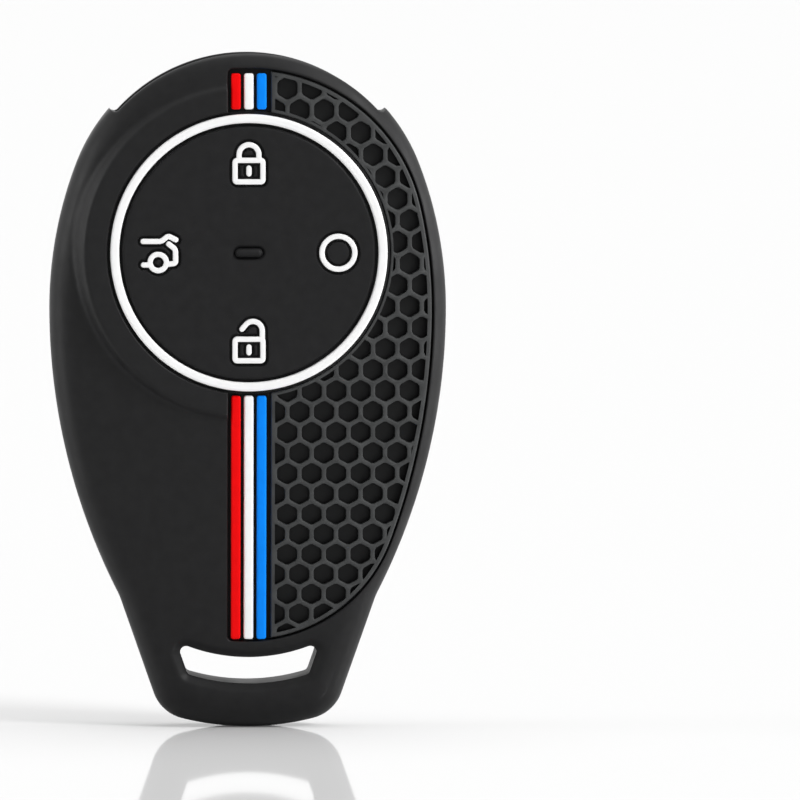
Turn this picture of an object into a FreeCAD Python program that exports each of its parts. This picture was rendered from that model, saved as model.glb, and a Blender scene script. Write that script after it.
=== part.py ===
import FreeCAD, Part
import math
import os
import re

import Sketcher

V = FreeCAD.Vector

NEARLY_NOTHING = 1e-4

# Driving dimensions, in millimetres and degrees
SIZES = (
    ("body_height", 84.9, "top of the oval before the lips are trimmed"),
    ("body_width", 49.4, "widest part of the oval"),
    ("top_rise", 32.7, "widest part to the top of the oval"),
    ("shoulder_radius", 50.0, "side arc above the widest part"),
    ("neck_height", 16.4, "height at which the oval's side meets the strap tab's flank"),
    ("neck_waist", 8.71, "widest part to that meeting, measured inwards"),
    ("neck_turn", 8.05, "turn from the tab's flank to the oval's side at that meeting"),
    ("neck_radius", 8.0, "hollow between the oval and the strap tab"),
    ("tab_corner_radius", 5.0, "lower corners of the tab"),
    ("base_radius", 34.0, "bottom edge of the tab"),
    ("front_depth", 8.4, "middle plane to the crown of the front"),
    ("back_depth", 8.8, "middle plane to the crown of the back"),
    ("crown_rise", 9.8, "widest part to the middle of the crowns"),
    ("crown_radius", 520.0, "crowns seen from the side"),
    ("front_cross_radius", 110.0, "front crown seen from above"),
    ("back_cross_radius", 55.0, "back crown seen from above"),
    ("edge_round", 3.2, "rounding of the outer edge"),
    ("wall", 2.0, "thickness of the soft wall"),
    ("strap_bridge", 4.75, "strap slot to the pocket's floor"),
    ("pocket_corner_radius", 6.0, "lower corners of the pocket"),
    ("mouth_step", 4.8, "end of the oval's top arc to the side of the mouth"),
    ("lip_trim", 0.9, "drop of the lips below the oval"),
    ("notch_step", 0.8, "side of the mouth to the end of the trimmed lip"),
    ("notch_round", 0.7, "rounding of the lip's notches"),
    ("overrun", 10.0, "length by which a cutting shape passes the body"),
    ("slot_width", 16.6, "strap slot at the level of its upper edge"),
    ("slot_height", 3.3, "strap slot between its upper and lower edge"),
    ("slot_level", 8.85, "upper edge of the strap slot on the middle line"),
    ("slot_bend", 21.5, "bend of the strap slot's upper edge"),
    ("slot_corner", 0.75, "corners of the strap slot"),
    ("slot_rim_round", 0.7, "rounding of the strap slot's rims"),
    ("field_rise", 7.1, "widest part to the middle of the round button field"),
    ("drum_shoulder", 2.95, "flat top of the drum round the ring's seat"),
    ("drum_rise", 0.15, "top of the drum above the front crown"),
    ("drum_depth", 3.2, "height of the drum's side"),
    ("drum_draft", 24.0, "lean of the drum's side"),
    ("drum_round", 0.8, "rounding of the drum's edge"),
    ("ring_diameter", 34.4, "white ring, outside"),
    ("ring_band", 1.1, "width of the white ring"),
    ("ring_proud", 0.2, "white ring above the drum"),
    ("ring_groove", 0.38, "dark groove on each side of the white ring"),
    ("seat_depth", 1.3, "seat of the ring and the button pad, below the drum"),
    ("seat_ledge", 0.85, "width of the ledge that carries the button pad"),
    ("rim_width", 1.9, "edge of the body to the edge of the recesses"),
    ("recess_depth", 1.1, "depth of the recesses below the crowns"),
    ("foot_bridge", 2.0, "strap slot to the recesses' lower edge"),
    ("foot_step", 4.0, "reach of the recesses' lower arc inside their widest part"),
    ("channel_side", 2.6, "middle line to the plain side of the stripe channel"),
    ("drum_wall", 0.3, "wall between the ring's groove and the front panel"),
    ("channel_overlap", 0.1, "front stripe channel past the edge of the ring's groove"),
    ("stripe_width", 1.06, "one stripe"),
    ("stripe_pitch", 1.6, "one stripe to the next"),
    ("stripe_round", 0.3, "corners of a stripe"),
    ("stripe_proud", 0.12, "stripes above the crowns"),
    ("stripe_head", 1.1, "upper ends of the stripes below the recesses' edge"),
    ("stripe_foot", 0.3, "lower ends of the stripes above the recesses' edge"),
    ("stripe_gap", 0.2, "stripes' ends to the ring's groove"),
    ("panel_side", 2.95, "middle line to the straight edge of the honeycomb panels"),
    ("panel_gap", 0.25, "groove round the honeycomb panels"),
    ("panel_sink", 0.2, "honeycomb panels below the crowns"),
    ("panel_border", 0.75, "plain border of the honeycomb panels"),
    ("comb_pitch", 3.1, "one cell to the next in a row"),
    ("front_comb_row", 2.5, "one row of cells to the next on the front"),
    ("back_comb_row", 2.7, "one row of cells to the next on the back"),
    ("comb_rib", 0.66, "rib between two cells"),
    ("comb_drop", 0.6, "lowest row of cells below the lower end of its field"),
    ("comb_least", 0.08, "smallest cut cell that is kept, as a share of a whole one"),
    ("pad_thickness", 2.1, "button pad with its spigot"),
    ("fit_gap", 0.05, "clearance between a piece and its seat"),
    ("button_reach", 11.1, "middle of the field to the middle of a button"),
    ("button_radius", 3.65, "button"),
    ("web_width", 0.45, "thin skin round a button"),
    ("web_thickness", 0.5, "depth of that skin"),
    ("nub_radius", 1.6, "nub behind a button"),
    ("nub_length", 0.6, "nub behind the pad"),
    ("icon_unit", 1.0, "length of one unit in the drawings of the icons"),
    ("icon_line", 0.66, "lines of an icon"),
    ("icon_groove", 0.36, "dark groove beside an icon's lines"),
    ("icon_depth", 0.35, "seat of an icon below the button's face"),
    ("icon_proud", 0.12, "icon above the button's face"),
    ("pill_length", 3.4, "indicator bump"),
    ("pill_width", 1.1, "indicator bump"),
    ("pill_seat", 0.5, "indicator bump below the pad's face"),
    ("pill_proud", 0.4, "indicator bump above the pad's face"),
    ("pill_round", 0.3, "upper edge of the indicator bump"),
    ("ring_round", 0.25, "upper edges of the white ring"),
)

ALIASES = r"\b(%s)\b" % "|".join(alias for alias, value, note in SIZES)

doc = FreeCAD.newDocument("key_fob_cover")
sheet = doc.addObject("Spreadsheet::Sheet", "Sizes")
for row, (alias, value, note) in enumerate(SIZES, start=1):
    sheet.set("A%d" % row, note)
    sheet.set("B%d" % row, str(value))
    sheet.setAlias("B%d" % row, alias)
doc.recompute()


def size(alias):
    """Give the number that a cell of the sheet holds."""
    return float(sheet.get(alias))


def cell(formula):
    """Turn the alias words of a formula into references to the sheet."""
    return re.sub(ALIASES, lambda match: "Sizes." + match.group(), formula)


def bind(item, **formulas):
    """Bind properties of an object to formulas of the sheet."""
    for name, formula in formulas.items():
        item.setExpression(name, cell(formula))


WIDEST = "(body_height - top_rise)"
FIELD = "(%s + field_rise)" % WIDEST
SIDE_DROP = "(%s - neck_height)" % WIDEST
SIDE_RADIUS = "((neck_waist ^ 2 + %s ^ 2) / (2 * neck_waist))" % SIDE_DROP
TAB_LEAN = "(asin(%s / %s) - neck_turn * 1 deg)" % (SIDE_DROP, SIDE_RADIUS)
REACH = "(shoulder_radius - body_width / 2)"
TOP_RADIUS = (
    "((shoulder_radius ^ 2 - %s ^ 2 - top_rise ^ 2) / (2 * (shoulder_radius - top_rise)))" % REACH
)
MOUTH_HALF = "(%s * %s / (shoulder_radius - %s) - mouth_step)" % (REACH, TOP_RADIUS, TOP_RADIUS)
NOTCH_HALF = "(%s + notch_step)" % MOUTH_HALF
RECESS_TOP = "(body_height - rim_width)"
RECESS_BOTTOM = "(slot_level + foot_bridge)"
FOOT_RADIUS = "(body_width / 2 - rim_width - foot_step)"


class Profile:
    """A sketch on one of its body's origin planes, with datums bound to the sheet."""

    ORIGIN = (-1, 1)
    UPRIGHT_AXIS = -2

    def __init__(self, body, name, plane="XZ_Plane", level=None):
        self.sketch = body.newObject("Sketcher::SketchObject", name)
        origin = [item for item in body.Origin.OriginFeatures if item.Role == plane]
        self.sketch.AttachmentSupport = [(origin[0], "")]
        self.sketch.MapMode = "FlatFace"
        if level:
            self.sketch.setExpression("AttachmentOffset.Base.z", cell(level))

    def line(self, start, end):
        return self.sketch.addGeometry(Part.LineSegment(V(*start, 0), V(*end, 0)))

    def arc(self, centre, start, end):
        """Add an arc that runs anticlockwise from start to end."""
        radius = math.dist(centre, start)
        first = math.atan2(start[1] - centre[1], start[0] - centre[0])
        last = math.atan2(end[1] - centre[1], end[0] - centre[0])
        circle = Part.Circle(V(*centre, 0), V(0, 0, 1), radius)
        return self.sketch.addGeometry(Part.ArcOfCircle(circle, first, last))

    def circle(self, centre, radius):
        return self.sketch.addGeometry(Part.Circle(V(*centre, 0), V(0, 0, 1), radius))

    def point(self, place):
        return self.sketch.addGeometry(Part.Point(V(*place, 0)), True)

    def tie(self, kind, *places):
        return self.sketch.addConstraint(Sketcher.Constraint(kind, *places))

    def follow(self, index, formula):
        self.sketch.setExpression("Constraints[%d]" % index, cell(formula))

    def radius(self, geometry, formula):
        value = self.sketch.Geometry[geometry].Radius
        self.follow(self.tie("Radius", geometry, value), formula)

    def across(self, here, there, formula):
        """Set how far there lies to the right of here."""
        value = self.sketch.getPoint(*there).x - self.sketch.getPoint(*here).x
        self.follow(self.tie("DistanceX", *here, *there, value), formula)

    def above(self, here, there, formula):
        """Set how far there lies above here."""
        value = self.sketch.getPoint(*there).y - self.sketch.getPoint(*here).y
        self.follow(self.tie("DistanceY", *here, *there, value), formula)

    def lean(self, line, formula):
        """Set a line's angle from the sketch's level axis."""
        ends = self.sketch.Geometry[line]
        rise = ends.EndPoint - ends.StartPoint
        self.follow(self.tie("Angle", line, math.atan2(rise.y, rise.x)), formula)

    def loop(self, pieces):
        """Join pieces end to end; each is (geometry, first end, last end, kind of joint)."""
        for here, there in zip(pieces, pieces[1:] + pieces[:1]):
            self.tie(here[3], here[0], here[2], there[0], there[1])


START, END, CENTRE = 1, 2, 3
SMOOTH, CORNER = "Tangent", "Coincident"


def along(origin, target, length):
    """Give the point at a length from origin towards target."""
    share = length / math.dist(origin, target)
    return tuple(a + (b - a) * share for a, b in zip(origin, target))


def flip(place):
    return (-place[0], place[1])


class Oval:
    """Centres and meeting points of the body's outline, at an inset from its edge."""

    def __init__(self, inset=0.0):
        half = size("body_width") / 2
        rise = size("top_rise")
        wide = size("body_height") - rise
        shoulder = size("shoulder_radius")
        waist = size("neck_waist")
        drop = wide - size("neck_height")
        side = (waist ** 2 + drop ** 2) / (2 * waist)
        reach = half - shoulder
        top = (shoulder ** 2 - reach ** 2 - rise ** 2) / (2 * (shoulder - rise))
        self.shoulder_centre = (reach, wide)
        self.side_centre = (half - side, wide)
        self.top_centre = (0.0, size("body_height") - top)
        self.top_radius = top - inset
        self.widest = (half - inset, wide)
        self.shoulder_end = along(self.shoulder_centre, self.top_centre, shoulder - inset)
        self.side_radius = side - inset
        self.neck = (half - waist, size("neck_height"))
        self.tab_lean = math.asin(drop / side) - math.radians(size("neck_turn"))
        self.mouth_half = -reach * top / (shoulder - top) - size("mouth_step")

    def top_at(self, across):
        """Give the point of the top arc at a distance from the middle."""
        rise = math.sqrt(self.top_radius ** 2 - across ** 2)
        return (across, self.top_centre[1] + rise)


def slide_to(point, heading, centre, distance):
    """Slide a point along a heading until it lies at a distance from a centre; give both places."""
    gap = (point[0] - centre[0], point[1] - centre[1])
    half = gap[0] * heading[0] + gap[1] * heading[1]
    root = math.sqrt(half ** 2 - gap[0] ** 2 - gap[1] ** 2 + distance ** 2)
    return [(point[0] + s * heading[0], point[1] + s * heading[1]) for s in (-half - root, -half + root)]


def draw_outline(body):
    """Draw the whole outline: the oval, the hollow neck and the strap tab."""
    oval = Oval()
    neck = size("neck_radius")
    corner = size("tab_corner_radius")
    base = size("base_radius")
    lean = oval.tab_lean
    gauge = oval.neck
    heading = (math.sin(lean), math.cos(lean))
    outward = (math.cos(lean), -math.sin(lean))
    beside = (gauge[0] + neck * outward[0], gauge[1] + neck * outward[1])
    neck_centre = slide_to(beside, heading, oval.side_centre, oval.side_radius + neck)[0]
    inside = (gauge[0] - corner * outward[0], gauge[1] - corner * outward[1])
    base_centre = (0.0, base)
    corner_centre = slide_to(inside, heading, base_centre, base - corner)[0]
    neck_low = (neck_centre[0] - neck * outward[0], neck_centre[1] - neck * outward[1])
    neck_high = along(neck_centre, oval.side_centre, neck)
    corner_high = (corner_centre[0] + corner * outward[0], corner_centre[1] + corner * outward[1])
    corner_low = along(base_centre, corner_centre, base)

    draw = Profile(body, "outline")
    bottom = draw.arc(base_centre, flip(corner_low), corner_low)
    right_corner = draw.arc(corner_centre, corner_low, corner_high)
    right_flank = draw.line(corner_high, neck_low)
    right_neck = draw.arc(neck_centre, neck_high, neck_low)
    right_side = draw.arc(oval.side_centre, neck_high, oval.widest)
    right_shoulder = draw.arc(oval.shoulder_centre, oval.widest, oval.shoulder_end)
    top = draw.arc(oval.top_centre, oval.shoulder_end, flip(oval.shoulder_end))
    left_shoulder = draw.arc(flip(oval.shoulder_centre), flip(oval.shoulder_end), flip(oval.widest))
    left_side = draw.arc(flip(oval.side_centre), flip(oval.widest), flip(neck_high))
    left_neck = draw.arc(flip(neck_centre), flip(neck_low), flip(neck_high))
    left_flank = draw.line(flip(corner_high), flip(neck_low))
    left_corner = draw.arc(flip(corner_centre), flip(corner_high), flip(corner_low))
    draw.loop([
        (bottom, START, END, SMOOTH),
        (right_corner, START, END, SMOOTH),
        (right_flank, START, END, SMOOTH),
        (right_neck, END, START, SMOOTH),
        (right_side, START, END, SMOOTH),
        (right_shoulder, START, END, SMOOTH),
        (top, START, END, SMOOTH),
        (left_shoulder, START, END, SMOOTH),
        (left_side, START, END, SMOOTH),
        (left_neck, END, START, SMOOTH),
        (left_flank, END, START, SMOOTH),
        (left_corner, START, END, SMOOTH),
    ])
    draw.radius(bottom, "base_radius")
    for right, left, formula in (
        (right_corner, left_corner, "tab_corner_radius"),
        (right_neck, left_neck, "neck_radius"),
        (right_side, left_side, SIDE_RADIUS),
        (right_shoulder, left_shoulder, "shoulder_radius"),
    ):
        draw.radius(right, formula)
        draw.tie("Equal", right, left)
    draw.tie("PointOnObject", bottom, CENTRE, draw.UPRIGHT_AXIS)
    draw.above(draw.ORIGIN, (bottom, CENTRE), "base_radius")
    crown = draw.point((0.0, size("body_height")))
    draw.tie("PointOnObject", crown, START, draw.UPRIGHT_AXIS)
    draw.tie("PointOnObject", crown, START, top)
    draw.above(draw.ORIGIN, (crown, START), "body_height")
    draw.across(draw.ORIGIN, (right_shoulder, START), "body_width / 2")
    draw.across((left_shoulder, END), draw.ORIGIN, "body_width / 2")
    for shoulder, widest in ((right_shoulder, START), (left_shoulder, END)):
        draw.above(draw.ORIGIN, (shoulder, widest), WIDEST)
        draw.above(draw.ORIGIN, (shoulder, CENTRE), WIDEST)
    draw.lean(right_flank, "90 deg - " + TAB_LEAN)
    draw.lean(left_flank, "90 deg + " + TAB_LEAN)
    right_gauge = draw.point(gauge)
    left_gauge = draw.point(flip(gauge))
    for mark, flank in ((right_gauge, right_flank), (left_gauge, left_flank)):
        draw.tie("PointOnObject", mark, START, flank)
        draw.above(draw.ORIGIN, (mark, START), "neck_height")
    draw.across(draw.ORIGIN, (right_gauge, START), "body_width / 2 - neck_waist")
    draw.across((left_gauge, START), draw.ORIGIN, "body_width / 2 - neck_waist")
    return draw.sketch


def new_body(name):
    return doc.addObject("PartDesign::Body", name)


def pad(body, sketch, name, length, symmetric=False):
    """Raise a sketch along its normal, which points to the front."""
    feature = body.newObject("PartDesign::Pad", name)
    feature.Profile = sketch
    feature.SideType = "Symmetric" if symmetric else "One side"
    bind(feature, Length=length)
    return feature


def pocket(body, sketch, name, length, symmetric=False):
    """Cut a sketch into the body, towards the back or both ways."""
    feature = body.newObject("PartDesign::Pocket", name)
    feature.Profile = sketch
    feature.SideType = "Symmetric" if symmetric else "One side"
    bind(feature, Length=length)
    return feature


def revolve(body, sketch, name, axis):
    feature = body.newObject("PartDesign::Revolution", name)
    feature.Profile = sketch
    feature.ReferenceAxis = (sketch, [axis])
    feature.Angle = 360
    return feature


def barrel(name, side, inset):
    """Turn the solid that lies behind the front or back crown, at an inset below it."""
    cross, depth = side + "_cross_radius", side + "_depth"
    low, high = -size("overrun"), size("body_height") + size("overrun")
    middle = size("body_height") - size("top_rise") + size("crown_rise")
    centre = (size(cross) - size("crown_radius"), middle)
    reach = size("crown_radius")
    foot = (centre[0] + math.sqrt(reach ** 2 - (low - centre[1]) ** 2), low)
    head = (centre[0] + math.sqrt(reach ** 2 - (high - centre[1]) ** 2), high)
    body = new_body(name)
    draw = Profile(body, name + "_meridian", "YZ_Plane")
    spine = draw.line((0.0, low), (0.0, high))
    roof = draw.line((0.0, high), head)
    crown = draw.arc(centre, foot, head)
    floor = draw.line(foot, (0.0, low))
    draw.loop([
        (spine, START, END, CORNER),
        (roof, START, END, CORNER),
        (crown, END, START, CORNER),
        (floor, START, END, CORNER),
    ])
    draw.tie("Horizontal", roof)
    draw.tie("Horizontal", floor)
    draw.tie("PointOnObject", spine, START, draw.UPRIGHT_AXIS)
    draw.tie("PointOnObject", spine, END, draw.UPRIGHT_AXIS)
    draw.above((spine, START), draw.ORIGIN, "overrun")
    draw.above(draw.ORIGIN, (spine, END), "body_height + overrun")
    draw.radius(crown, "crown_radius - (%s)" % inset)
    draw.above(draw.ORIGIN, (crown, CENTRE), WIDEST + " + crown_rise")
    draw.across((crown, CENTRE), draw.ORIGIN, "crown_radius - %s" % cross)
    revolve(body, draw.sketch, name + "_turned", "V_Axis")
    if side == "front":
        body.setExpression("Placement.Base.y", cell("%s - %s" % (cross, depth)))
    else:
        body.Placement.Rotation = FreeCAD.Rotation(V(0, 0, 1), 180)
        body.setExpression("Placement.Base.y", cell("%s - %s" % (depth, cross)))
    return body


def common(name, *shapes):
    item = doc.addObject("Part::MultiCommon", name)
    item.Shapes = list(shapes)
    return item


def cut(name, base, tool):
    item = doc.addObject("Part::Cut", name)
    item.Base = base
    item.Tool = tool
    return item


def border_edges(shape, chosen):
    """Name the edges that bound the chosen faces."""
    edges = [edge for face in shape.Faces if chosen(face) for edge in face.Edges]
    return ["Edge%d" % number for number, edge in enumerate(shape.Edges, start=1)
            if any(edge.isSame(other) for other in edges)]


def new_edges(shape, old_faces):
    """Name the edges that lie on one of some old faces and were not there before."""
    old_edges = [edge for face in old_faces for edge in face.Edges]
    return [
        "Edge%d" % number
        for number, edge in enumerate(shape.Edges, start=1)
        if not any(is_alike(edge, old) for old in old_edges)
        and any(lies_on(edge, face) for face in old_faces)
    ]


def middle_point(edge):
    return edge.valueAt((edge.FirstParameter + edge.LastParameter) / 2)


def is_alike(edge, other):
    return middle_point(edge).distanceToPoint(middle_point(other)) < NEARLY_NOTHING


def lies_on(edge, face):
    return face.isInside(middle_point(edge), NEARLY_NOTHING, True)


def is_crown(face):
    return face.Surface.TypeId not in ("Part::GeomPlane", "Part::GeomCylinder")


def fillet(body, name, edges, radius):
    base = body.Tip
    feature = body.newObject("PartDesign::Fillet", name)
    feature.Base = (base, edges)
    bind(feature, Radius=radius)
    return feature


def draw_pocket(body):
    """Draw the space for the fob: it follows the oval inside the wall and leaves by the mouth."""
    wall = size("wall")
    oval = Oval(wall)
    floor = size("slot_level") + size("strap_bridge")
    corner = size("pocket_corner_radius")
    reach = oval.side_radius - corner
    drop = floor + corner - oval.side_centre[1]
    corner_centre = (oval.side_centre[0] + math.sqrt(reach ** 2 - drop ** 2), floor + corner)
    corner_low = (corner_centre[0], floor)
    corner_high = along(oval.side_centre, corner_centre, oval.side_radius)
    mouth = oval.top_at(oval.mouth_half)
    exit_height = size("body_height") + size("overrun")
    gate = (mouth[0], exit_height)

    draw = Profile(body, "pocket_outline")
    bottom = draw.line(flip(corner_low), corner_low)
    right_corner = draw.arc(corner_centre, corner_low, corner_high)
    right_side = draw.arc(oval.side_centre, corner_high, oval.widest)
    right_shoulder = draw.arc(oval.shoulder_centre, oval.widest, oval.shoulder_end)
    right_top = draw.arc(oval.top_centre, oval.shoulder_end, mouth)
    right_gate = draw.line(mouth, gate)
    roof = draw.line(gate, flip(gate))
    left_gate = draw.line(flip(gate), flip(mouth))
    left_top = draw.arc(oval.top_centre, flip(mouth), flip(oval.shoulder_end))
    left_shoulder = draw.arc(flip(oval.shoulder_centre), flip(oval.shoulder_end), flip(oval.widest))
    left_side = draw.arc(flip(oval.side_centre), flip(oval.widest), flip(corner_high))
    left_corner = draw.arc(flip(corner_centre), flip(corner_high), flip(corner_low))
    draw.loop([
        (bottom, START, END, SMOOTH),
        (right_corner, START, END, SMOOTH),
        (right_side, START, END, SMOOTH),
        (right_shoulder, START, END, SMOOTH),
        (right_top, START, END, CORNER),
        (right_gate, START, END, CORNER),
        (roof, START, END, CORNER),
        (left_gate, START, END, CORNER),
        (left_top, START, END, SMOOTH),
        (left_shoulder, START, END, SMOOTH),
        (left_side, START, END, SMOOTH),
        (left_corner, START, END, SMOOTH),
    ])
    draw.tie("Horizontal", bottom)
    draw.tie("Horizontal", roof)
    draw.tie("Vertical", right_gate)
    draw.tie("Vertical", left_gate)
    draw.above(draw.ORIGIN, (bottom, START), "slot_level + strap_bridge")
    draw.above(draw.ORIGIN, (roof, START), "body_height + overrun")
    draw.across(draw.ORIGIN, (roof, START), MOUTH_HALF)
    draw.across((roof, END), draw.ORIGIN, MOUTH_HALF)
    draw.tie("Equal", right_top, left_top)
    for right, left, formula in (
        (right_corner, left_corner, "pocket_corner_radius"),
        (right_side, left_side, SIDE_RADIUS + " - wall"),
        (right_shoulder, left_shoulder, "shoulder_radius - wall"),
    ):
        draw.radius(right, formula)
        draw.tie("Equal", right, left)
    crown = draw.point((0.0, size("body_height") - wall))
    draw.tie("PointOnObject", crown, START, draw.UPRIGHT_AXIS)
    draw.tie("PointOnObject", crown, START, right_top)
    draw.above(draw.ORIGIN, (crown, START), "body_height - wall")
    draw.tie("Coincident", right_top, CENTRE, left_top, CENTRE)
    draw.across(draw.ORIGIN, (right_shoulder, START), "body_width / 2 - wall")
    draw.across((left_shoulder, END), draw.ORIGIN, "body_width / 2 - wall")
    for shoulder, widest in ((right_shoulder, START), (left_shoulder, END)):
        draw.above(draw.ORIGIN, (shoulder, widest), WIDEST)
        draw.above(draw.ORIGIN, (shoulder, CENTRE), WIDEST)
    return draw.sketch


def draw_lip_trim(body):
    """Draw what is trimmed off the lips between the two notches of the mouth."""
    oval = Oval(size("lip_trim"))
    corner = size("notch_round")
    half = oval.mouth_half + size("notch_step")
    reach = oval.top_radius + corner
    rise = math.sqrt(reach ** 2 - (half - corner) ** 2)
    corner_centre = (half - corner, oval.top_centre[1] + rise)
    corner_low = along(oval.top_centre, corner_centre, oval.top_radius)
    corner_high = (half, corner_centre[1])
    gate = (half, size("body_height") + size("overrun"))

    draw = Profile(body, "lip_trim_outline")
    lip = draw.arc(oval.top_centre, corner_low, flip(corner_low))
    left_notch = draw.arc(flip(corner_centre), flip(corner_high), flip(corner_low))
    left_gate = draw.line(flip(corner_high), flip(gate))
    roof = draw.line(flip(gate), gate)
    right_gate = draw.line(gate, corner_high)
    right_notch = draw.arc(corner_centre, corner_low, corner_high)
    draw.loop([
        (lip, START, END, SMOOTH),
        (left_notch, END, START, SMOOTH),
        (left_gate, START, END, CORNER),
        (roof, START, END, CORNER),
        (right_gate, START, END, SMOOTH),
        (right_notch, END, START, SMOOTH),
    ])
    draw.tie("Horizontal", roof)
    draw.tie("Vertical", left_gate)
    draw.tie("Vertical", right_gate)
    draw.radius(right_notch, "notch_round")
    draw.tie("Equal", right_notch, left_notch)
    draw.across(draw.ORIGIN, (right_gate, START), NOTCH_HALF)
    draw.across((left_gate, END), draw.ORIGIN, NOTCH_HALF)
    draw.above(draw.ORIGIN, (roof, START), "body_height + overrun")
    crown = draw.point((0.0, size("body_height") - size("lip_trim")))
    draw.tie("PointOnObject", crown, START, draw.UPRIGHT_AXIS)
    draw.tie("PointOnObject", crown, START, lip)
    draw.above(draw.ORIGIN, (crown, START), "body_height - lip_trim")
    return draw.sketch


def draw_strap_slot(body):
    """Draw the strap slot: two bent edges, round corners and ends that lean like the tab's flanks."""
    lean = Oval().tab_lean
    corner = size("slot_corner")
    upper = size("slot_bend")
    lower = upper + size("slot_height")
    centre = (0.0, size("slot_level") + upper)
    gauge = (size("slot_width") / 2, size("slot_level"))
    heading = (math.sin(lean), math.cos(lean))
    outward = (math.cos(lean), -math.sin(lean))
    inside = (gauge[0] - corner * outward[0], gauge[1] - corner * outward[1])
    high_centre = slide_to(inside, heading, centre, upper + corner)[0]
    low_centre = slide_to(inside, heading, centre, lower - corner)[0]
    high_inner = along(centre, high_centre, upper)
    high_outer = (high_centre[0] + corner * outward[0], high_centre[1] + corner * outward[1])
    low_inner = along(centre, low_centre, lower)
    low_outer = (low_centre[0] + corner * outward[0], low_centre[1] + corner * outward[1])

    draw = Profile(body, "strap_slot_outline")
    bottom = draw.arc(centre, flip(low_inner), low_inner)
    low_right = draw.arc(low_centre, low_inner, low_outer)
    right_end = draw.line(low_outer, high_outer)
    high_right = draw.arc(high_centre, high_outer, high_inner)
    top = draw.arc(centre, flip(high_inner), high_inner)
    high_left = draw.arc(flip(high_centre), flip(high_inner), flip(high_outer))
    left_end = draw.line(flip(low_outer), flip(high_outer))
    low_left = draw.arc(flip(low_centre), flip(low_outer), flip(low_inner))
    draw.loop([
        (bottom, START, END, SMOOTH),
        (low_right, START, END, SMOOTH),
        (right_end, START, END, SMOOTH),
        (high_right, START, END, SMOOTH),
        (top, END, START, SMOOTH),
        (high_left, START, END, SMOOTH),
        (left_end, END, START, SMOOTH),
        (low_left, START, END, SMOOTH),
    ])
    draw.radius(top, "slot_bend")
    draw.radius(bottom, "slot_bend + slot_height")
    draw.radius(low_right, "slot_corner")
    for other in (high_right, high_left, low_left):
        draw.tie("Equal", low_right, other)
    draw.tie("Coincident", top, CENTRE, bottom, CENTRE)
    draw.tie("PointOnObject", top, CENTRE, draw.UPRIGHT_AXIS)
    draw.above(draw.ORIGIN, (top, CENTRE), "slot_level + slot_bend")
    draw.lean(right_end, "90 deg - " + TAB_LEAN)
    draw.lean(left_end, "90 deg + " + TAB_LEAN)
    right_gauge = draw.point(gauge)
    left_gauge = draw.point(flip(gauge))
    for mark, end in ((right_gauge, right_end), (left_gauge, left_end)):
        draw.tie("PointOnObject", mark, START, end)
        draw.above(draw.ORIGIN, (mark, START), "slot_level")
    draw.across(draw.ORIGIN, (right_gauge, START), "slot_width / 2")
    draw.across((left_gauge, START), draw.ORIGIN, "slot_width / 2")
    return draw.sketch


def draw_drum(body):
    """Draw half of the drum's section: a flat top, a rounded edge and a leaning side."""
    top = -(size("front_depth") + size("drum_rise"))
    base = top + size("drum_depth")
    lean = math.radians(size("drum_draft"))
    corner = size("drum_round")
    edge = size("ring_diameter") / 2 + size("ring_groove") + size("drum_shoulder")
    foot = edge + size("drum_depth") * math.tan(lean)
    setback = corner * math.tan((math.pi / 2 - lean) / 2)
    centre = (top + corner, edge - setback)
    round_high = (top, edge - setback)
    round_low = (top + setback * math.cos(lean), edge + setback * math.sin(lean))

    draw = Profile(body, "drum_section", "YZ_Plane")
    draw.sketch.setExpression("AttachmentOffset.Base.y", cell(FIELD))
    axis = draw.line((top, 0.0), (base, 0.0))
    floor = draw.line((base, 0.0), (base, foot))
    side = draw.line((base, foot), round_low)
    rounding = draw.arc(centre, round_low, round_high)
    face = draw.line(round_high, (top, 0.0))
    draw.loop([
        (axis, START, END, CORNER),
        (floor, START, END, CORNER),
        (side, START, END, SMOOTH),
        (rounding, START, END, SMOOTH),
        (face, START, END, CORNER),
    ])
    draw.tie("Horizontal", axis)
    draw.tie("Vertical", floor)
    draw.tie("Vertical", face)
    draw.tie("PointOnObject", axis, START, -1)
    draw.across((axis, START), draw.ORIGIN, "front_depth + drum_rise")
    draw.across((axis, START), (axis, END), "drum_depth")
    draw.radius(rounding, "drum_round")
    draw.lean(side, "270 - drum_draft")
    draw.above(draw.ORIGIN, (floor, END), DRUM_RADIUS + " + drum_depth * tan(drum_draft * 1 deg)")
    return draw.sketch


TOP = "front_depth + drum_rise"
SEAT = TOP + " - seat_depth"
PAD_BACK = TOP + " - pad_thickness"
CLEAR = TOP + " + overrun"
RING_RADIUS = "ring_diameter / 2"
BORE_RADIUS = RING_RADIUS + " - ring_band"
PAD_RADIUS = BORE_RADIUS + " - ring_groove"
SEAT_RADIUS = RING_RADIUS + " + ring_groove"
DRUM_RADIUS = SEAT_RADIUS + " + drum_shoulder"
WALL_RADIUS = SEAT_RADIUS + " + drum_wall"
WINDOW_RADIUS = PAD_RADIUS + " - seat_ledge"


def field_height():
    """Give the height of the button field's middle."""
    return size("body_height") - size("top_rise") + size("field_rise")


def draw_circles(body, name, level, *circles):
    """Draw circles, each given by its radius and the way from the field's middle to its centre."""
    draw = Profile(body, name, level=level)
    for radius, (right, up) in circles:
        place = (right * size("button_reach"), field_height() + up * size("button_reach"))
        ring = draw.circle(place, size("button_radius"))
        draw.radius(ring, radius)
        draw.above(draw.ORIGIN, (ring, CENTRE), FIELD + " + (%d) * button_reach" % up)
        if right > 0:
            draw.across(draw.ORIGIN, (ring, CENTRE), "button_reach")
        elif right < 0:
            draw.across((ring, CENTRE), draw.ORIGIN, "button_reach")
        else:
            draw.tie("PointOnObject", ring, CENTRE, draw.UPRIGHT_AXIS)
    return draw.sketch


MIDDLE = (0, 0)


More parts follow.
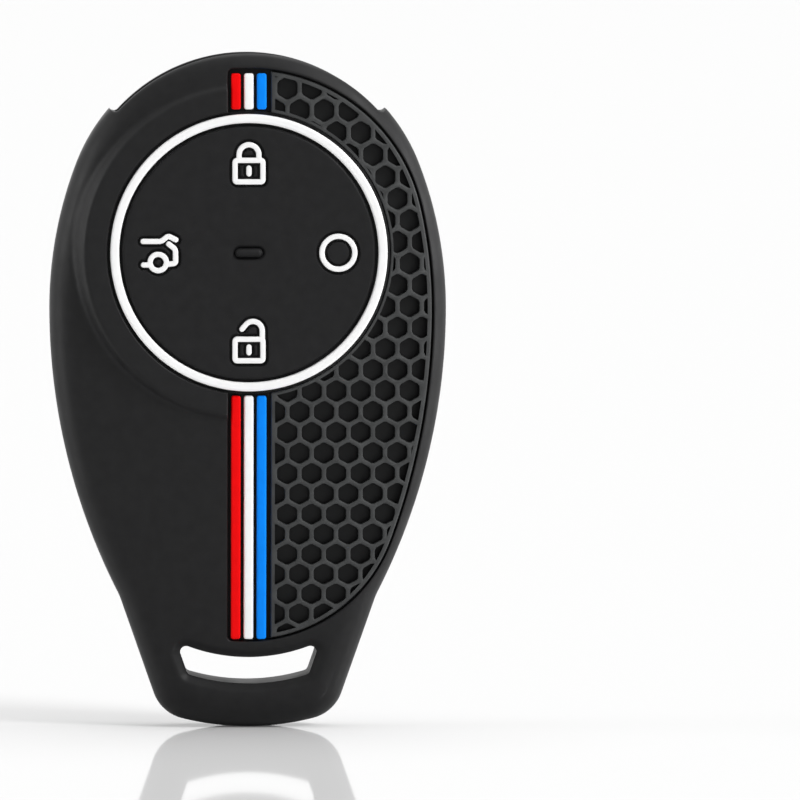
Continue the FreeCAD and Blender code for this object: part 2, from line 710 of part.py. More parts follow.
def draw_recess(body, name, inset, straight_side, rightwards):
    """Draw the recess's outline, or one that lies inside it by an inset.

    The straight side lies at a distance to the right of the middle line, or to its left.
    """
    rim = size("rim_width")
    oval = Oval(rim)
    half, wide = oval.widest
    foot = half - size("foot_step")
    foot_centre = (0.0, size("slot_level") + size("foot_bridge") + foot)
    drop = wide - foot_centre[1]
    side = (half ** 2 + drop ** 2 - foot ** 2) / (2 * (half - foot))
    side_centre = (half - side, wide)
    foot_end = along(side_centre, foot_centre, side)
    edge = size("channel_side") * (1 if rightwards else -1)
    high = oval.top_at(edge)
    low = (edge, foot_centre[1] - math.sqrt(foot ** 2 - edge ** 2))

    draw = Profile(body, name)
    straight = draw.line(high, low)
    bottom = draw.arc(foot_centre, low, foot_end)
    flank = draw.arc(side_centre, foot_end, oval.widest)
    shoulder = draw.arc(oval.shoulder_centre, oval.widest, oval.shoulder_end)
    top = draw.arc(oval.top_centre, oval.shoulder_end, high)
    draw.loop([
        (straight, START, END, CORNER),
        (bottom, START, END, SMOOTH),
        (flank, START, END, SMOOTH),
        (shoulder, START, END, SMOOTH),
        (top, START, END, CORNER),
    ])
    draw.tie("Vertical", straight)
    if rightwards:
        draw.across(draw.ORIGIN, (straight, START), straight_side)
    else:
        draw.across((straight, START), draw.ORIGIN, straight_side)
    draw.radius(bottom, FOOT_RADIUS + " - (%s)" % inset)
    draw.radius(shoulder, "shoulder_radius - rim_width - (%s)" % inset)
    draw.tie("PointOnObject", bottom, CENTRE, draw.UPRIGHT_AXIS)
    draw.above(draw.ORIGIN, (bottom, CENTRE), RECESS_BOTTOM + " + " + FOOT_RADIUS)
    draw.across(draw.ORIGIN, (shoulder, START), "body_width / 2 - rim_width - (%s)" % inset)
    draw.above(draw.ORIGIN, (shoulder, START), WIDEST)
    draw.above(draw.ORIGIN, (shoulder, CENTRE), WIDEST)
    draw.tie("PointOnObject", top, CENTRE, draw.UPRIGHT_AXIS)
    crown = draw.point((0.0, size("body_height") - rim))
    draw.tie("PointOnObject", crown, START, draw.UPRIGHT_AXIS)
    draw.tie("PointOnObject", crown, START, top)
    draw.above(draw.ORIGIN, (crown, START), RECESS_TOP + " - (%s)" % inset)
    return draw.sketch


def slab(side, name, inset, straight_side, rightwards):
    """Pad a recess outline through one half of the body."""
    body = new_body(name)
    sketch = draw_recess(body, name + "_outline", inset, straight_side, rightwards)
    feature = pad(body, sketch, name + "_pad", "front_depth + back_depth")
    feature.Reversed = side == "back"
    return body


def clear_drum(body, radius):
    """Keep a front slab clear of the drum by a radius round the button field."""
    circle = draw_circles(body, body.Name + "_drum", CLEAR, (radius, MIDDLE))
    pocket(body, circle, body.Name + "_drum_cut", CLEAR + " + overrun")


def draw_drum_shield(body):
    """Draw the part of the drum's wall that stands beside the front panel: a disc cut by a chord."""
    reach = (size("ring_diameter") / 2) + size("ring_groove") + size("drum_wall")
    middle, chord = field_height(), size("panel_side")
    rise = math.sqrt(reach ** 2 - chord ** 2)
    low, high = (chord, middle - rise), (chord, middle + rise)
    draw = Profile(body, "drum_shield", level=CLEAR)
    edge = draw.arc((0.0, middle), low, high)
    straight = draw.line(high, low)
    draw.loop([(edge, START, END, CORNER), (straight, START, END, CORNER)])
    draw.tie("Vertical", straight)
    draw.tie("PointOnObject", edge, CENTRE, draw.UPRIGHT_AXIS)
    draw.above(draw.ORIGIN, (edge, CENTRE), FIELD)
    draw.radius(edge, WALL_RADIUS)
    draw.across(draw.ORIGIN, (straight, START), "panel_side")
    return draw.sketch


def make_skins():
    """Turn the crowned surfaces, front and back, that shape the sleeve and what is set into it."""
    levels = (
        ("skin", "0"),
        ("lining", "wall"),
        ("floor", "recess_depth"),
        ("panel", "panel_sink"),
        ("stripe", "0 - stripe_proud"),
    )
    return {
        (side, name): barrel("%s_%s" % (side, name), side, inset)
        for side in ("front", "back")
        for name, inset in levels
    }


def make_sleeve(skins):
    """Make the soft shell: crowned form, drum, lips, strap slot, seat, pocket and recesses."""
    through = "2 * (front_depth + back_depth)"
    blank = new_body("blank")
    pad(blank, draw_outline(blank), "blank_pad", through, symmetric=True)
    form = common("sleeve_form", blank, skins["front", "skin"], skins["back", "skin"])
    doc.recompute()

    shell = new_body("sleeve_shell")
    shell.BaseFeature = form
    doc.recompute()
    fillet(shell, "rounded_edge", border_edges(shell.Tip.Shape, is_crown), "edge_round")
    revolve(shell, draw_drum(shell), "drum", "H_Axis")
    pocket(shell, draw_lip_trim(shell), "lip_trim", through, symmetric=True)
    doc.recompute()
    crowns = [face for face in shell.Tip.Shape.Faces if is_crown(face)]
    pocket(shell, draw_strap_slot(shell), "strap_slot", through, symmetric=True)
    doc.recompute()
    fillet(shell, "slot_rims", new_edges(shell.Tip.Shape, crowns), "slot_rim_round")
    seat = draw_circles(shell, "seat_circle", CLEAR, (SEAT_RADIUS, MIDDLE))
    pocket(shell, seat, "seat", "overrun + seat_depth")
    window = draw_circles(shell, "window_circle", CLEAR, (WINDOW_RADIUS, MIDDLE))
    pocket(shell, window, "window", CLEAR)

    core = new_body("pocket_core")
    pad(core, draw_pocket(core), "pocket_pad", through, symmetric=True)
    space = common("pocket_space", core, skins["front", "lining"], skins["back", "lining"])
    solid = cut("hollow_sleeve", shell, space)
    for side in ("front", "back"):
        name = side + "_recess"
        prism = slab(side, name + "_slab", "0", "channel_side", False)
        if side == "front":
            clear_drum(prism, SEAT_RADIUS + " - channel_overlap")
            pocket(prism, draw_drum_shield(prism), "drum_shield_cut", CLEAR + " + overrun")
        recess = cut(name, prism, skins[side, "floor"])
        solid = cut("sleeve_with_" + name, solid, recess)
    return solid


def flat_end(item):
    """Find the flat face at the far end of a slab."""
    ends = [face for face in item.Shape.Faces if face.BoundBox.YLength < NEARLY_NOTHING]
    return max(ends, key=lambda face: abs(face.BoundBox.YMin))


def comb_cells(inside, row):
    """Draw the honeycomb's cells on a flat face, trimmed by its edge, and leave out the slivers.

    The cells stand on a corner. Every other row starts with half a cell.
    """
    pitch = size("comb_pitch")
    open_share = 1 - size("comb_rib") / pitch
    box = inside.BoundBox
    corners = [(0, 2 / 3 * row), (pitch / 2, row / 3), (pitch / 2, -row / 3)]
    corners += [(-right, -up) for right, up in corners]
    cells = []
    for level in range(math.ceil((box.ZLength + size("comb_drop")) / row) + 1):
        for place in range(math.ceil(box.XLength / pitch) + 2):
            across = box.XMin + (place - (level + 1) % 2 / 2) * pitch
            middle = V(across, box.YMin, box.ZMin - size("comb_drop") + level * row)
            ring = [middle + V(right * open_share, 0, up * open_share) for right, up in corners]
            whole = Part.Face(Part.makePolygon(ring + ring[:1]))
            within = [inside.isInside(corner, NEARLY_NOTHING, True) for corner in ring]
            if all(within):
                cells.append(whole)
            elif any(within):
                least = size("comb_least") * whole.Area
                cells += [face for face in inside.common(whole).Faces if face.Area > least]
    return cells


def make_panel(side, skins):
    """Make a honeycomb panel that fills the recess beside the stripes."""
    border = " + panel_border"
    prism = slab(side, side + "_panel_slab", "panel_gap", "panel_side", True)
    inside = slab(side, side + "_panel_inside", "panel_gap" + border, "panel_side" + border, True)
    if side == "front":
        clear_drum(prism, WALL_RADIUS + " + fit_gap")
        clear_drum(inside, WALL_RADIUS + " + fit_gap + panel_border / 2")
    doc.recompute()
    field = flat_end(inside)
    depth = V(0, -field.BoundBox.YMin, 0)
    cells = doc.addObject("Part::Feature", side + "_panel_cells")
    cells.Shape = Part.makeCompound(
        [face.extrude(depth) for face in comb_cells(field, size(side + "_comb_row"))]
    )
    plate = cut(side + "_panel_plate", prism, skins[side, "floor"])
    crowned = common(side + "_panel_crowned", plate, skins[side, "panel"])
    return cut(side + "_honeycomb_panel", crowned, cells)


def make_stripe(side, name, place, low, high, skins):
    """Make one raised stripe, a rounded bar that follows the crown."""
    body = new_body(name + "_bar")
    draw = Profile(body, name + "_outline")
    half = size("stripe_width") / 2
    corner = size("stripe_round")
    middle = place * size("stripe_pitch")
    foot = size("slot_level") + size("foot_bridge") + size("stripe_foot")
    top = size("body_height") - size("rim_width") - size("stripe_head")
    left, right = middle - half, middle + half
    bottom = draw.line((left + corner, foot), (right - corner, foot))
    low_right = draw.arc((right - corner, foot + corner), (right - corner, foot), (right, foot + corner))
    right_side = draw.line((right, foot + corner), (right, top - corner))
    top_right = draw.arc((right - corner, top - corner), (right, top - corner), (right - corner, top))
    roof = draw.line((right - corner, top), (left + corner, top))
    top_left = draw.arc((left + corner, top - corner), (left + corner, top), (left, top - corner))
    left_side = draw.line((left, top - corner), (left, foot + corner))
    low_left = draw.arc((left + corner, foot + corner), (left, foot + corner), (left + corner, foot))
    edges = (bottom, low_right, right_side, top_right, roof, top_left, left_side, low_left)
    draw.loop([(edge, START, END, SMOOTH) for edge in edges])
    draw.tie("Horizontal", bottom)
    draw.tie("Vertical", right_side)
    draw.tie("Horizontal", roof)
    draw.tie("Vertical", left_side)
    draw.radius(low_right, "stripe_round")
    for other in (top_right, top_left, low_left):
        draw.tie("Equal", low_right, other)
    draw.across((left_side, END), (right_side, START), "stripe_width")
    draw.above(draw.ORIGIN, (bottom, START), low)
    draw.above(draw.ORIGIN, (roof, START), high)
    if place < 0:
        draw.across((left_side, END), draw.ORIGIN, "stripe_pitch + stripe_width / 2")
    elif place > 0:
        draw.across(draw.ORIGIN, (right_side, START), "stripe_pitch + stripe_width / 2")
    else:
        draw.across(draw.ORIGIN, (right_side, START), "stripe_width / 2")
    feature = pad(body, draw.sketch, name + "_pad", "front_depth + back_depth")
    feature.Reversed = side == "back"
    bar = cut(name + "_crowned", body, skins[side, "floor"])
    return common(name, bar, skins[side, "stripe"])


def make_stripes(skins):
    """Make the red, white and blue stripes: two short runs in front and a long one behind."""
    head = RECESS_TOP + " - stripe_head"
    foot = RECESS_BOTTOM + " + stripe_foot"
    above_ring = "%s + %s + stripe_gap" % (FIELD, SEAT_RADIUS)
    below_ring = "%s - (%s) - stripe_gap" % (FIELD, SEAT_RADIUS)
    runs = (
        ("front", "front_upper_stripe", above_ring, head),
        ("front", "front_lower_stripe", foot, below_ring),
        ("back", "back_stripe", foot, head),
    )
    return [
        make_stripe(side, "%s_%s" % (run, colour), place, low, high, skins)
        for side, run, low, high in runs
        for place, colour in ((-1, "red"), (0, "white"), (1, "blue"))
    ]


def make_ring():
    """Make the white ring that stands in the groove round the button pad."""
    body = new_body("ring_inlay")
    band = draw_circles(body, "ring_band", SEAT, (RING_RADIUS, MIDDLE), (BORE_RADIUS, MIDDLE))
    pad(body, band, "ring_pad", "seat_depth + ring_proud")
    doc.recompute()
    front = min(face.BoundBox.YMax for face in body.Tip.Shape.Faces)
    edges = border_edges(body.Tip.Shape, lambda face: face.BoundBox.YMax == front)
    fillet(body, "ring_rounding", edges, "ring_round")
    return body


BUTTONS = {"lock": (0, 1), "unlock": (0, -1), "trunk": (-1, 0), "circle": (1, 0)}
HOLE_RADIUS = "button_radius + web_width + 2 * fit_gap"


def draw_pill(body, name, level, grow):
    """Draw the indicator's outline: two straight sides and two round ends."""
    draw = Profile(body, name, level=level)
    reach = (size("pill_length") - size("pill_width")) / 2
    half = size("pill_width") / 2
    middle = field_height()
    low = draw.line((-reach, middle - half), (reach, middle - half))
    right = draw.arc((reach, middle), (reach, middle - half), (reach, middle + half))
    high = draw.line((reach, middle + half), (-reach, middle + half))
    left = draw.arc((-reach, middle), (-reach, middle + half), (-reach, middle - half))
    draw.loop([(edge, START, END, SMOOTH) for edge in (low, right, high, left)])
    draw.tie("Horizontal", low)
    draw.tie("Equal", right, left)
    draw.radius(right, "pill_width / 2 + (%s)" % grow)
    draw.above(draw.ORIGIN, (right, CENTRE), FIELD)
    draw.across(draw.ORIGIN, (right, CENTRE), "(pill_length - pill_width) / 2")
    draw.across((left, CENTRE), draw.ORIGIN, "(pill_length - pill_width) / 2")
    return draw.sketch


def make_pad():
    """Make the button pad: a disc on the ledge, a spigot in the window, holes and the pill's seat."""
    body = new_body("button_pad")
    spigot = draw_circles(body, "spigot_circle", PAD_BACK, (WINDOW_RADIUS + " - fit_gap", MIDDLE))
    pad(body, spigot, "spigot", "pad_thickness - seat_depth")
    disc = draw_circles(body, "disc_circle", SEAT, (PAD_RADIUS, MIDDLE))
    pad(body, disc, "disc", "seat_depth")
    holes = draw_circles(body, "button_holes", CLEAR, *[(HOLE_RADIUS, way) for way in BUTTONS.values()])
    pocket(body, holes, "holes", "overrun + pad_thickness")
    seat = draw_pill(body, "pill_seat_outline", CLEAR, "fit_gap")
    pocket(body, seat, "pill_seat_cut", "overrun + pill_seat")
    return body


def make_pill():
    """Make the small dark bump in the middle of the field."""
    body = new_body("indicator_pill")
    outline = draw_pill(body, "pill_outline", TOP + " - pill_seat", "0")
    pad(body, outline, "pill_pad", "pill_seat + pill_proud")
    doc.recompute()
    front = min(face.BoundBox.YMax for face in body.Tip.Shape.Faces)
    edges = border_edges(body.Tip.Shape, lambda face: face.BoundBox.YMax == front)
    fillet(body, "pill_rounding", edges, "pill_round")
    return body


def make_web(name, way):
    """Make the thin skin between a button and the pad."""
    body = new_body(name)
    outer, inner = "button_radius + web_width + fit_gap", "button_radius + fit_gap"
    ring = draw_circles(body, name + "_ring", TOP + " - web_thickness", (outer, way), (inner, way))
    pad(body, ring, name + "_pad", "web_thickness")
    return body


def straight_line(start, end, width):
    """Make the face of a straight line with round ends."""
    start, end = V(*start, 0), V(*end, 0)
    heading = (end - start).normalize()
    beside = V(-heading.y, heading.x, 0) * (width / 2)
    tip, tail = end + heading * (width / 2), start - heading * (width / 2)
    edges = [
        Part.LineSegment(start - beside, end - beside).toShape(),
        Part.Arc(end - beside, tip, end + beside).toShape(),
        Part.LineSegment(end + beside, start + beside).toShape(),
        Part.Arc(start + beside, tail, start - beside).toShape(),
    ]
    return Part.Face(Part.Wire(edges))


def bent_line(points, width):
    return [straight_line(start, end, width) for start, end in zip(points, points[1:])]


def ring_line(centre, radius, width):
    """Make the face of a closed round line."""
    outer, inner = [
        Part.Face(Part.Wire(Part.Circle(V(*centre, 0), V(0, 0, 1), radius + step).toShape()))
        for step in (width / 2, -width / 2)
    ]
    return outer.cut(inner)


def arc_line(centre, radius, first, last, width):
    """Make the face of a round line from one angle to another, in degrees, with flat ends."""
    ends = [math.radians(angle) for angle in (first, last)]

    def spot(distance, angle):
        return V(centre[0] + distance * math.cos(angle), centre[1] + distance * math.sin(angle), 0)

    far, near = radius + width / 2, radius - width / 2
    middle = sum(ends) / 2
    edges = [
        Part.Arc(spot(far, ends[0]), spot(far, middle), spot(far, ends[1])).toShape(),
        Part.LineSegment(spot(far, ends[1]), spot(near, ends[1])).toShape(),
        Part.Arc(spot(near, ends[1]), spot(near, middle), spot(near, ends[0])).toShape(),
        Part.LineSegment(spot(near, ends[0]), spot(far, ends[0])).toShape(),
    ]
    return Part.Face(Part.Wire(edges))


# Padlock: half width, top and bottom of the case's line, keyhole's ends, shackle's radius and centre
CASE_HALF, CASE_TOP, CASE_FOOT = 1.73, 0.37, -2.3
KEYHOLE_TOP, KEYHOLE_FOOT = -0.6, -1.3
SHACKLE_RADIUS, SHACKLE_RISE = 1.23, 1.08
OPEN_SHACKLE_SIDE, OPEN_SHACKLE_RADIUS, OPEN_SHACKLE_RISE = 1.65, 1.16, 1.43
OPEN_SHACKLE_TURN, OPEN_SHACKLE_TAIL = 140, 0.72
CIRCLE_RADIUS = 2.04


def padlock_case(width):
    right = [(CASE_HALF, CASE_TOP), (CASE_HALF, CASE_FOOT)]
    left = [(-CASE_HALF, CASE_FOOT), (-CASE_HALF, CASE_TOP)]
    keyhole = straight_line((0, KEYHOLE_TOP), (0, KEYHOLE_FOOT), width)
    return bent_line(right + left + right[:1], width) + [keyhole]


def lock_lines(width):
    """Draw a closed padlock."""
    legs = [
        straight_line((side, CASE_TOP), (side, SHACKLE_RISE), width)
        for side in (-SHACKLE_RADIUS, SHACKLE_RADIUS)
    ]
    return padlock_case(width) + legs + [arc_line((0, SHACKLE_RISE), SHACKLE_RADIUS, 0, 180, width)]


def unlock_lines(width):
    """Draw a padlock whose shackle stands open."""
    side = OPEN_SHACKLE_SIDE
    centre = (side - OPEN_SHACKLE_RADIUS, OPEN_SHACKLE_RISE)
    turn = math.radians(OPEN_SHACKLE_TURN)
    heading = (math.cos(turn), math.sin(turn))
    end = (centre[0] + OPEN_SHACKLE_RADIUS * heading[0], centre[1] + OPEN_SHACKLE_RADIUS * heading[1])
    tip = (end[0] - OPEN_SHACKLE_TAIL * heading[1], end[1] + OPEN_SHACKLE_TAIL * heading[0])
    return padlock_case(width) + [
        straight_line((side, CASE_TOP), (side, OPEN_SHACKLE_RISE), width),
        arc_line(centre, OPEN_SHACKLE_RADIUS, 0, OPEN_SHACKLE_TURN, width),
        straight_line(end, tip, width),
    ]


def trunk_lines(width):
    """Draw the tail of a car with its lid open."""
    lid = [(-2.04, 1.42), (0.21, 1.42), (1.09, 2.12), (2.02, 1.62)]
    tail = [(1.14, 1.1), (1.98, 0.43), (2.0, -1.3), (0.8, -1.45)]
    sill = [(-1.99, -1.5), (-1.1, -1.5)]
    wheel = ring_line((-0.16, -1.19), 1.01, width)
    return bent_line(lid, width) + bent_line(tail, width) + bent_line(sill, width) + [wheel]


def circle_lines(width):
    return [ring_line((0, 0), CIRCLE_RADIUS, width)]


ICON_LINES = {"lock": lock_lines, "unlock": unlock_lines, "trunk": trunk_lines, "circle": circle_lines}


def icon_solid(name, icon, way, width, height):
    """Raise an icon's lines from their seat in a button's face towards the front."""
    unit = size("icon_unit")
    faces = [face.scaled(unit) for face in ICON_LINES[icon](width / unit)]
    first, *others = [face.extrude(V(0, 0, height)) for face in faces]
    item = doc.addObject("Part::Feature", name)
    item.Shape = first.multiFuse(others).removeSplitter() if others else first
    right, up = way
    place = V(
        right * size("button_reach"),
        size("icon_depth") - size("front_depth") - size("drum_rise"),
        field_height() + up * size("button_reach"),
    )
    item.Placement = FreeCAD.Placement(place, FreeCAD.Rotation(V(1, 0, 0), 90))
    return item


def make_icon(icon, way):
    height = size("icon_depth") + size("icon_proud")
    return icon_solid(icon + "_icon", icon, way, size("icon_line"), height)


def make_button(icon, way):
    """Make a button with a nub behind it and its icon's groove in its face."""
    name = icon + "_button"
    body = new_body(name + "_plug")
    face = draw_circles(body, name + "_circle", PAD_BACK, ("button_radius", way))
    pad(body, face, name + "_pad", "pad_thickness")
    nub = draw_circles(body, name + "_nub_circle", PAD_BACK + " - nub_length", ("nub_radius", way))
    pad(body, nub, name + "_nub", "nub_length")
    width = size("icon_line") + 2 * size("icon_groove")
    groove = icon_solid(name + "_groove", icon, way, width, size("overrun"))
    return cut(name, body, groove)


skins = make_skins()
nodes = {
    "sleeve": make_sleeve(skins),
    "front_honeycomb_panel": make_panel("front", skins),
    "back_honeycomb_panel": make_panel("back", skins),
    "ring_inlay": make_ring(),
    "button_pad": make_pad(),
    "indicator_pill": make_pill(),
}
for stripe in make_stripes(skins):
    nodes[stripe.Name] = stripe
for icon, way in BUTTONS.items():
    nodes[icon + "_button"] = make_button(icon, way)
    nodes[icon + "_icon"] = make_icon(icon, way)
    nodes[icon + "_web"] = make_web(icon + "_web", way)
doc.recompute()

for item in doc.Objects:
    if "Invalid" in item.State or "Error" in item.State:
        raise RuntimeError("%s did not build: %s" % (item.Name, item.State))
for name, item in nodes.items():
    if item.Shape.isNull() or not item.Shape.isValid():
        raise RuntimeError("%s has no valid shape" % name)
    item.Label = name

os.makedirs("parts", exist_ok=True)
for name, item in nodes.items():
    item.Shape.exportStep("parts/%s.step" % name)
    print("%s: %d solids, %.2f mm3" % (name, len(item.Shape.Solids), item.Shape.Volume))
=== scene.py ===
import math
from types import SimpleNamespace

import bmesh
import bpy
import numpy as np
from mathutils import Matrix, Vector
from mathutils.geometry import delaunay_2d_cdt
from mathutils.kdtree import KDTree


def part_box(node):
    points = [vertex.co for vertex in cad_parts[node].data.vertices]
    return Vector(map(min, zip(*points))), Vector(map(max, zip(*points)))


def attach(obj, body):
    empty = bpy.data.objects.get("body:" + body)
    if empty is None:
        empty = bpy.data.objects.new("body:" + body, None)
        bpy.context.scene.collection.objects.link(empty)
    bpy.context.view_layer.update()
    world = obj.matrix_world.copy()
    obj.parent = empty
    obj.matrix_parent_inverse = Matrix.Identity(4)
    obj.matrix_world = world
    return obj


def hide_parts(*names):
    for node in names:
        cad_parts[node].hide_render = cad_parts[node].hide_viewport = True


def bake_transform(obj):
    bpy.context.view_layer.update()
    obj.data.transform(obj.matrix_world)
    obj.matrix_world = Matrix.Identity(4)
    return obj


bl_info = {
    "name": "Key fob cover",
    "version": (1, 0, 0),
    "blender": (4, 5, 0),
    "location": "View3D > Sidebar > Cover",
    "description": "Builds a soft key fob cover with honeycomb grips, stripes and a round button field",
    "category": "Object",
}

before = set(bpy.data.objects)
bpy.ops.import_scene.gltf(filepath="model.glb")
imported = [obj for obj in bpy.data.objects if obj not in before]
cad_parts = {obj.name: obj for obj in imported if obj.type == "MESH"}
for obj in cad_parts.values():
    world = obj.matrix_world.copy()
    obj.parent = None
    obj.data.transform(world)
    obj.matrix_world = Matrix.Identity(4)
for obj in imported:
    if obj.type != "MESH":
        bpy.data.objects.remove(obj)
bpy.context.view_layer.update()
SLEEVE_LOW, SLEEVE_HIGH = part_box("sleeve")
RING_LOW, RING_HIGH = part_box("ring_inlay")
PAD_LOW, PAD_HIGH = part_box("button_pad")

MM = 0.001
LIP_TRIM = 0.9
ROOT = "cover"
BUTTONS = {"lock": (0, 1), "unlock": (0, -1), "trunk": (-1, 0), "circle": (1, 0)}
STRIPE_RUNS = ("front_upper_stripe", "front_lower_stripe", "back_stripe")
STRIPES = {"red": -1, "white": 0, "blue": 1}


def length(name, millimetres, description):
    return bpy.props.FloatProperty(
        name=name, description=description, default=millimetres * MM, unit="LENGTH", precision=5
    )


def angle(name, degrees, description):
    return bpy.props.FloatProperty(
        name=name, description=description, default=math.radians(degrees), subtype="ANGLE"
    )


def colour(name, shade, description):
    return bpy.props.FloatVectorProperty(
        name=name, description=description, default=shade, size=3, subtype="COLOR", min=0.0, max=1.0
    )


class SleeveSizes(bpy.types.PropertyGroup):
    """Sizes of the soft shell."""

    body_height: length("Body height", SLEEVE_HIGH.z / MM + LIP_TRIM, "Top of the oval before the trim")
    body_width: length("Body width", (SLEEVE_HIGH.x - SLEEVE_LOW.x) / MM, "Widest part of the oval")
    top_rise: length("Top rise", 32.7, "Widest part to the top of the oval")
    shoulder_radius: length("Shoulder radius", 50.0, "Side arc above the widest part")
    neck_height: length("Neck height", 16.4, "Where the oval's side meets the strap tab's flank")
    neck_waist: length("Neck waist", 8.71, "Widest part to that meeting, measured inwards")
    neck_turn: angle("Neck turn", 8.05, "Turn from the tab's flank to the oval's side")
    neck_radius: length("Neck radius", 8.0, "Hollow between the oval and the strap tab")
    tab_corner: length("Tab corner", 5.0, "Lower corners of the strap tab")
    base_radius: length("Base radius", 34.0, "Bottom edge of the strap tab")
    front_depth: length("Front depth", 8.4, "Middle plane to the crown of the front")
    back_depth: length("Back depth", 8.8, "Middle plane to the crown of the back")
    crown_rise: length("Crown rise", 9.8, "Widest part to the middle of the crowns")
    crown_radius: length("Crown radius", 520.0, "Crowns seen from the side")
    front_cross_radius: length("Front cross radius", 110.0, "Front crown seen from above")
    back_cross_radius: length("Back cross radius", 55.0, "Back crown seen from above")
    edge_round: length("Edge round", 3.2, "Rounding of the outer edge")
    wall: length("Wall", 2.0, "Thickness of the soft wall")
    strap_bridge: length("Strap bridge", 4.75, "Strap slot to the pocket's floor")
    pocket_corner: length("Pocket corner", 6.0, "Lower corners of the pocket")
    mouth_step: length("Mouth step", 4.8, "End of the oval's top arc to the side of the mouth")
    lip_trim: length("Lip trim", LIP_TRIM, "Drop of the lips below the oval")
    lip_round: length("Lip round", 0.3, "Soft edges of the lips")
    notch_step: length("Notch step", 0.8, "Side of the mouth to the end of the trimmed lip")
    notch_round: length("Notch round", 0.7, "Rounding of the lip's notches")
    notch_crest: length("Notch crest", 0.9, "Soft crest beside a notch")
    slot_width: length("Slot width", 16.6, "Strap slot at the level of its upper edge")
    slot_height: length("Slot height", 3.3, "Strap slot between its upper and lower edge")
    slot_level: length("Slot level", 8.85, "Upper edge of the strap slot on the middle line")
    slot_bend: length("Slot bend", 21.5, "Bend of the strap slot's upper edge")
    slot_corner: length("Slot corner", 0.75, "Corners of the strap slot")
    slot_round: length("Slot round", 0.7, "Depth of the soft dish round the strap slot")
    slot_dish: length("Slot dish", 1.2, "Width of the soft dish round the strap slot")
    drum_shoulder: length("Drum shoulder", 2.95, "Flat top of the drum round the ring's seat")
    drum_draft: angle("Drum draft", 24.0, "Lean of the drum's side")
    drum_round: length("Drum round", 0.9, "Softness of the drum's edge and foot")
    rim_width: length("Rim width", 1.65, "Side of the body to the side of the recesses")
    rim_top: length("Rim top", 2.7, "Top of the body to the top of the recesses")
    recess_shoulder: length("Recess shoulder", 56.4, "Side arc of the recesses above the widest part")
    recess_depth: length("Recess depth", 1.7, "Depth of the recesses below the crowns")
    recess_rim: length("Recess rim", 0.25, "Rounding of the recesses' rims")
    recess_corner: length("Recess corner", 0.6, "Corners of the stripe channel")
    recess_draft: length("Recess draft", 0.05, "Lean of the recesses' walls")
    foot_bridge: length("Foot bridge", 2.0, "Strap slot to the recesses' lower edge")
    foot_step: length("Foot step", 4.0, "Reach of the recesses' lower arc inside their widest part")
    channel_side: length("Channel side", 2.6, "Middle line to the plain side of the stripe channel")


class InsetSizes(bpy.types.PropertyGroup):
    """Sizes of what is set into the shell."""

    field_height: length("Field height", (RING_LOW.z + RING_HIGH.z) / 2 / MM, "Middle of the button field")
    face: length("Face", -PAD_LOW.y / MM, "Middle plane to the face of the button field")
    ring_radius: length("Ring radius", (RING_HIGH.x - RING_LOW.x) / 2 / MM, "White ring, outside")
    ring_band: length("Ring band", 1.1, "Width of the white ring")
    ring_proud: length("Ring proud", 0.2, "White ring above the field")
    ring_round: length("Ring round", 0.3, "Upper edges of the white ring")
    ring_groove: length("Ring groove", 0.38, "Dark groove on each side of the white ring")
    seat_depth: length("Seat depth", 1.3, "Seat of the ring and the pad, below the field's face")
    seat_ledge: length("Seat ledge", 0.85, "Ledge that carries the pad")
    pad_thickness: length("Pad thickness", (PAD_HIGH.y - PAD_LOW.y) / MM, "Pad with its spigot")
    pad_round: length("Pad round", 0.35, "Edge of the pad")
    button_reach: length("Button reach", 11.1, "Middle of the field to the middle of a button")
    button_radius: length("Button radius", 3.65, "Button")
    web_width: length("Web width", 0.55, "Thin skin round a button")
    web_thickness: length("Web thickness", 0.5, "Depth of that skin")
    nub_radius: length("Nub radius", 1.6, "Nub behind a button")
    nub_length: length("Nub length", 0.6, "Nub behind the pad")
    icon_line: length("Icon line", 0.66, "Lines of an icon")
    icon_groove: length("Icon groove", 0.36, "Dark groove beside an icon's lines")
    icon_depth: length("Icon depth", 0.8, "Seat of an icon below the button's face")
    icon_proud: length("Icon proud", 0.12, "Icon above the button's face")
    icon_round: length("Icon round", 0.16, "Edges of an icon's lines")
    pill_length: length("Pill length", 3.4, "Indicator bump, from end to end")
    pill_width: length("Pill width", 1.1, "Indicator bump, from side to side")
    pill_proud: length("Pill proud", 0.6, "Indicator bump above the pad")
    cove_width: length("Cove width", 0.5, "Soft dip in the pad round the indicator bump")
    cove_depth: length("Cove depth", 0.4, "Depth of that dip")
    stripe_width: length("Stripe width", 1.18, "One stripe")
    stripe_head: length("Stripe head", 0.65, "Top of the recesses to the stripes")
    stripe_pitch: length("Stripe pitch", 1.6, "One stripe to the next")
    stripe_corner: length("Stripe corner", 0.3, "Corners of a stripe")
    stripe_round: length("Stripe round", 0.25, "Upper edges of a stripe")
    stripe_proud: length("Stripe proud", 0.12, "Stripes above the crowns")
    grip_side: length("Grip side", 2.75, "Middle line to the straight edge of the grips")
    grip_gap: length("Grip gap", 0.25, "Groove round the grips")
    grip_drum_gap: length("Grip drum gap", 0.05, "Ring's groove to the front grip")
    grip_sink: length("Grip sink", 0.2, "Grips below the crowns")
    grip_border: length("Grip border", 0.5, "Plain border of the grips")
    grip_round: length("Grip round", 0.2, "Edges of the grips")
    comb_pitch: length("Comb pitch", 3.05, "One cell to the next in a row")
    front_comb_row: length("Front comb row", 2.62, "One row of cells to the next on the front")
    back_comb_row: length("Back comb row", 2.68, "One row of cells to the next on the back")
    comb_rib: length("Comb rib", 0.56, "Rib between two cells")
    comb_drop: length("Comb drop", 0.05, "Lowest row of cells below the lower end of its field")
    comb_depth: length("Comb depth", 1.3, "Depth of a cell")
    comb_flare: length("Comb flare", 0.09, "Rounding of a cell's rim")


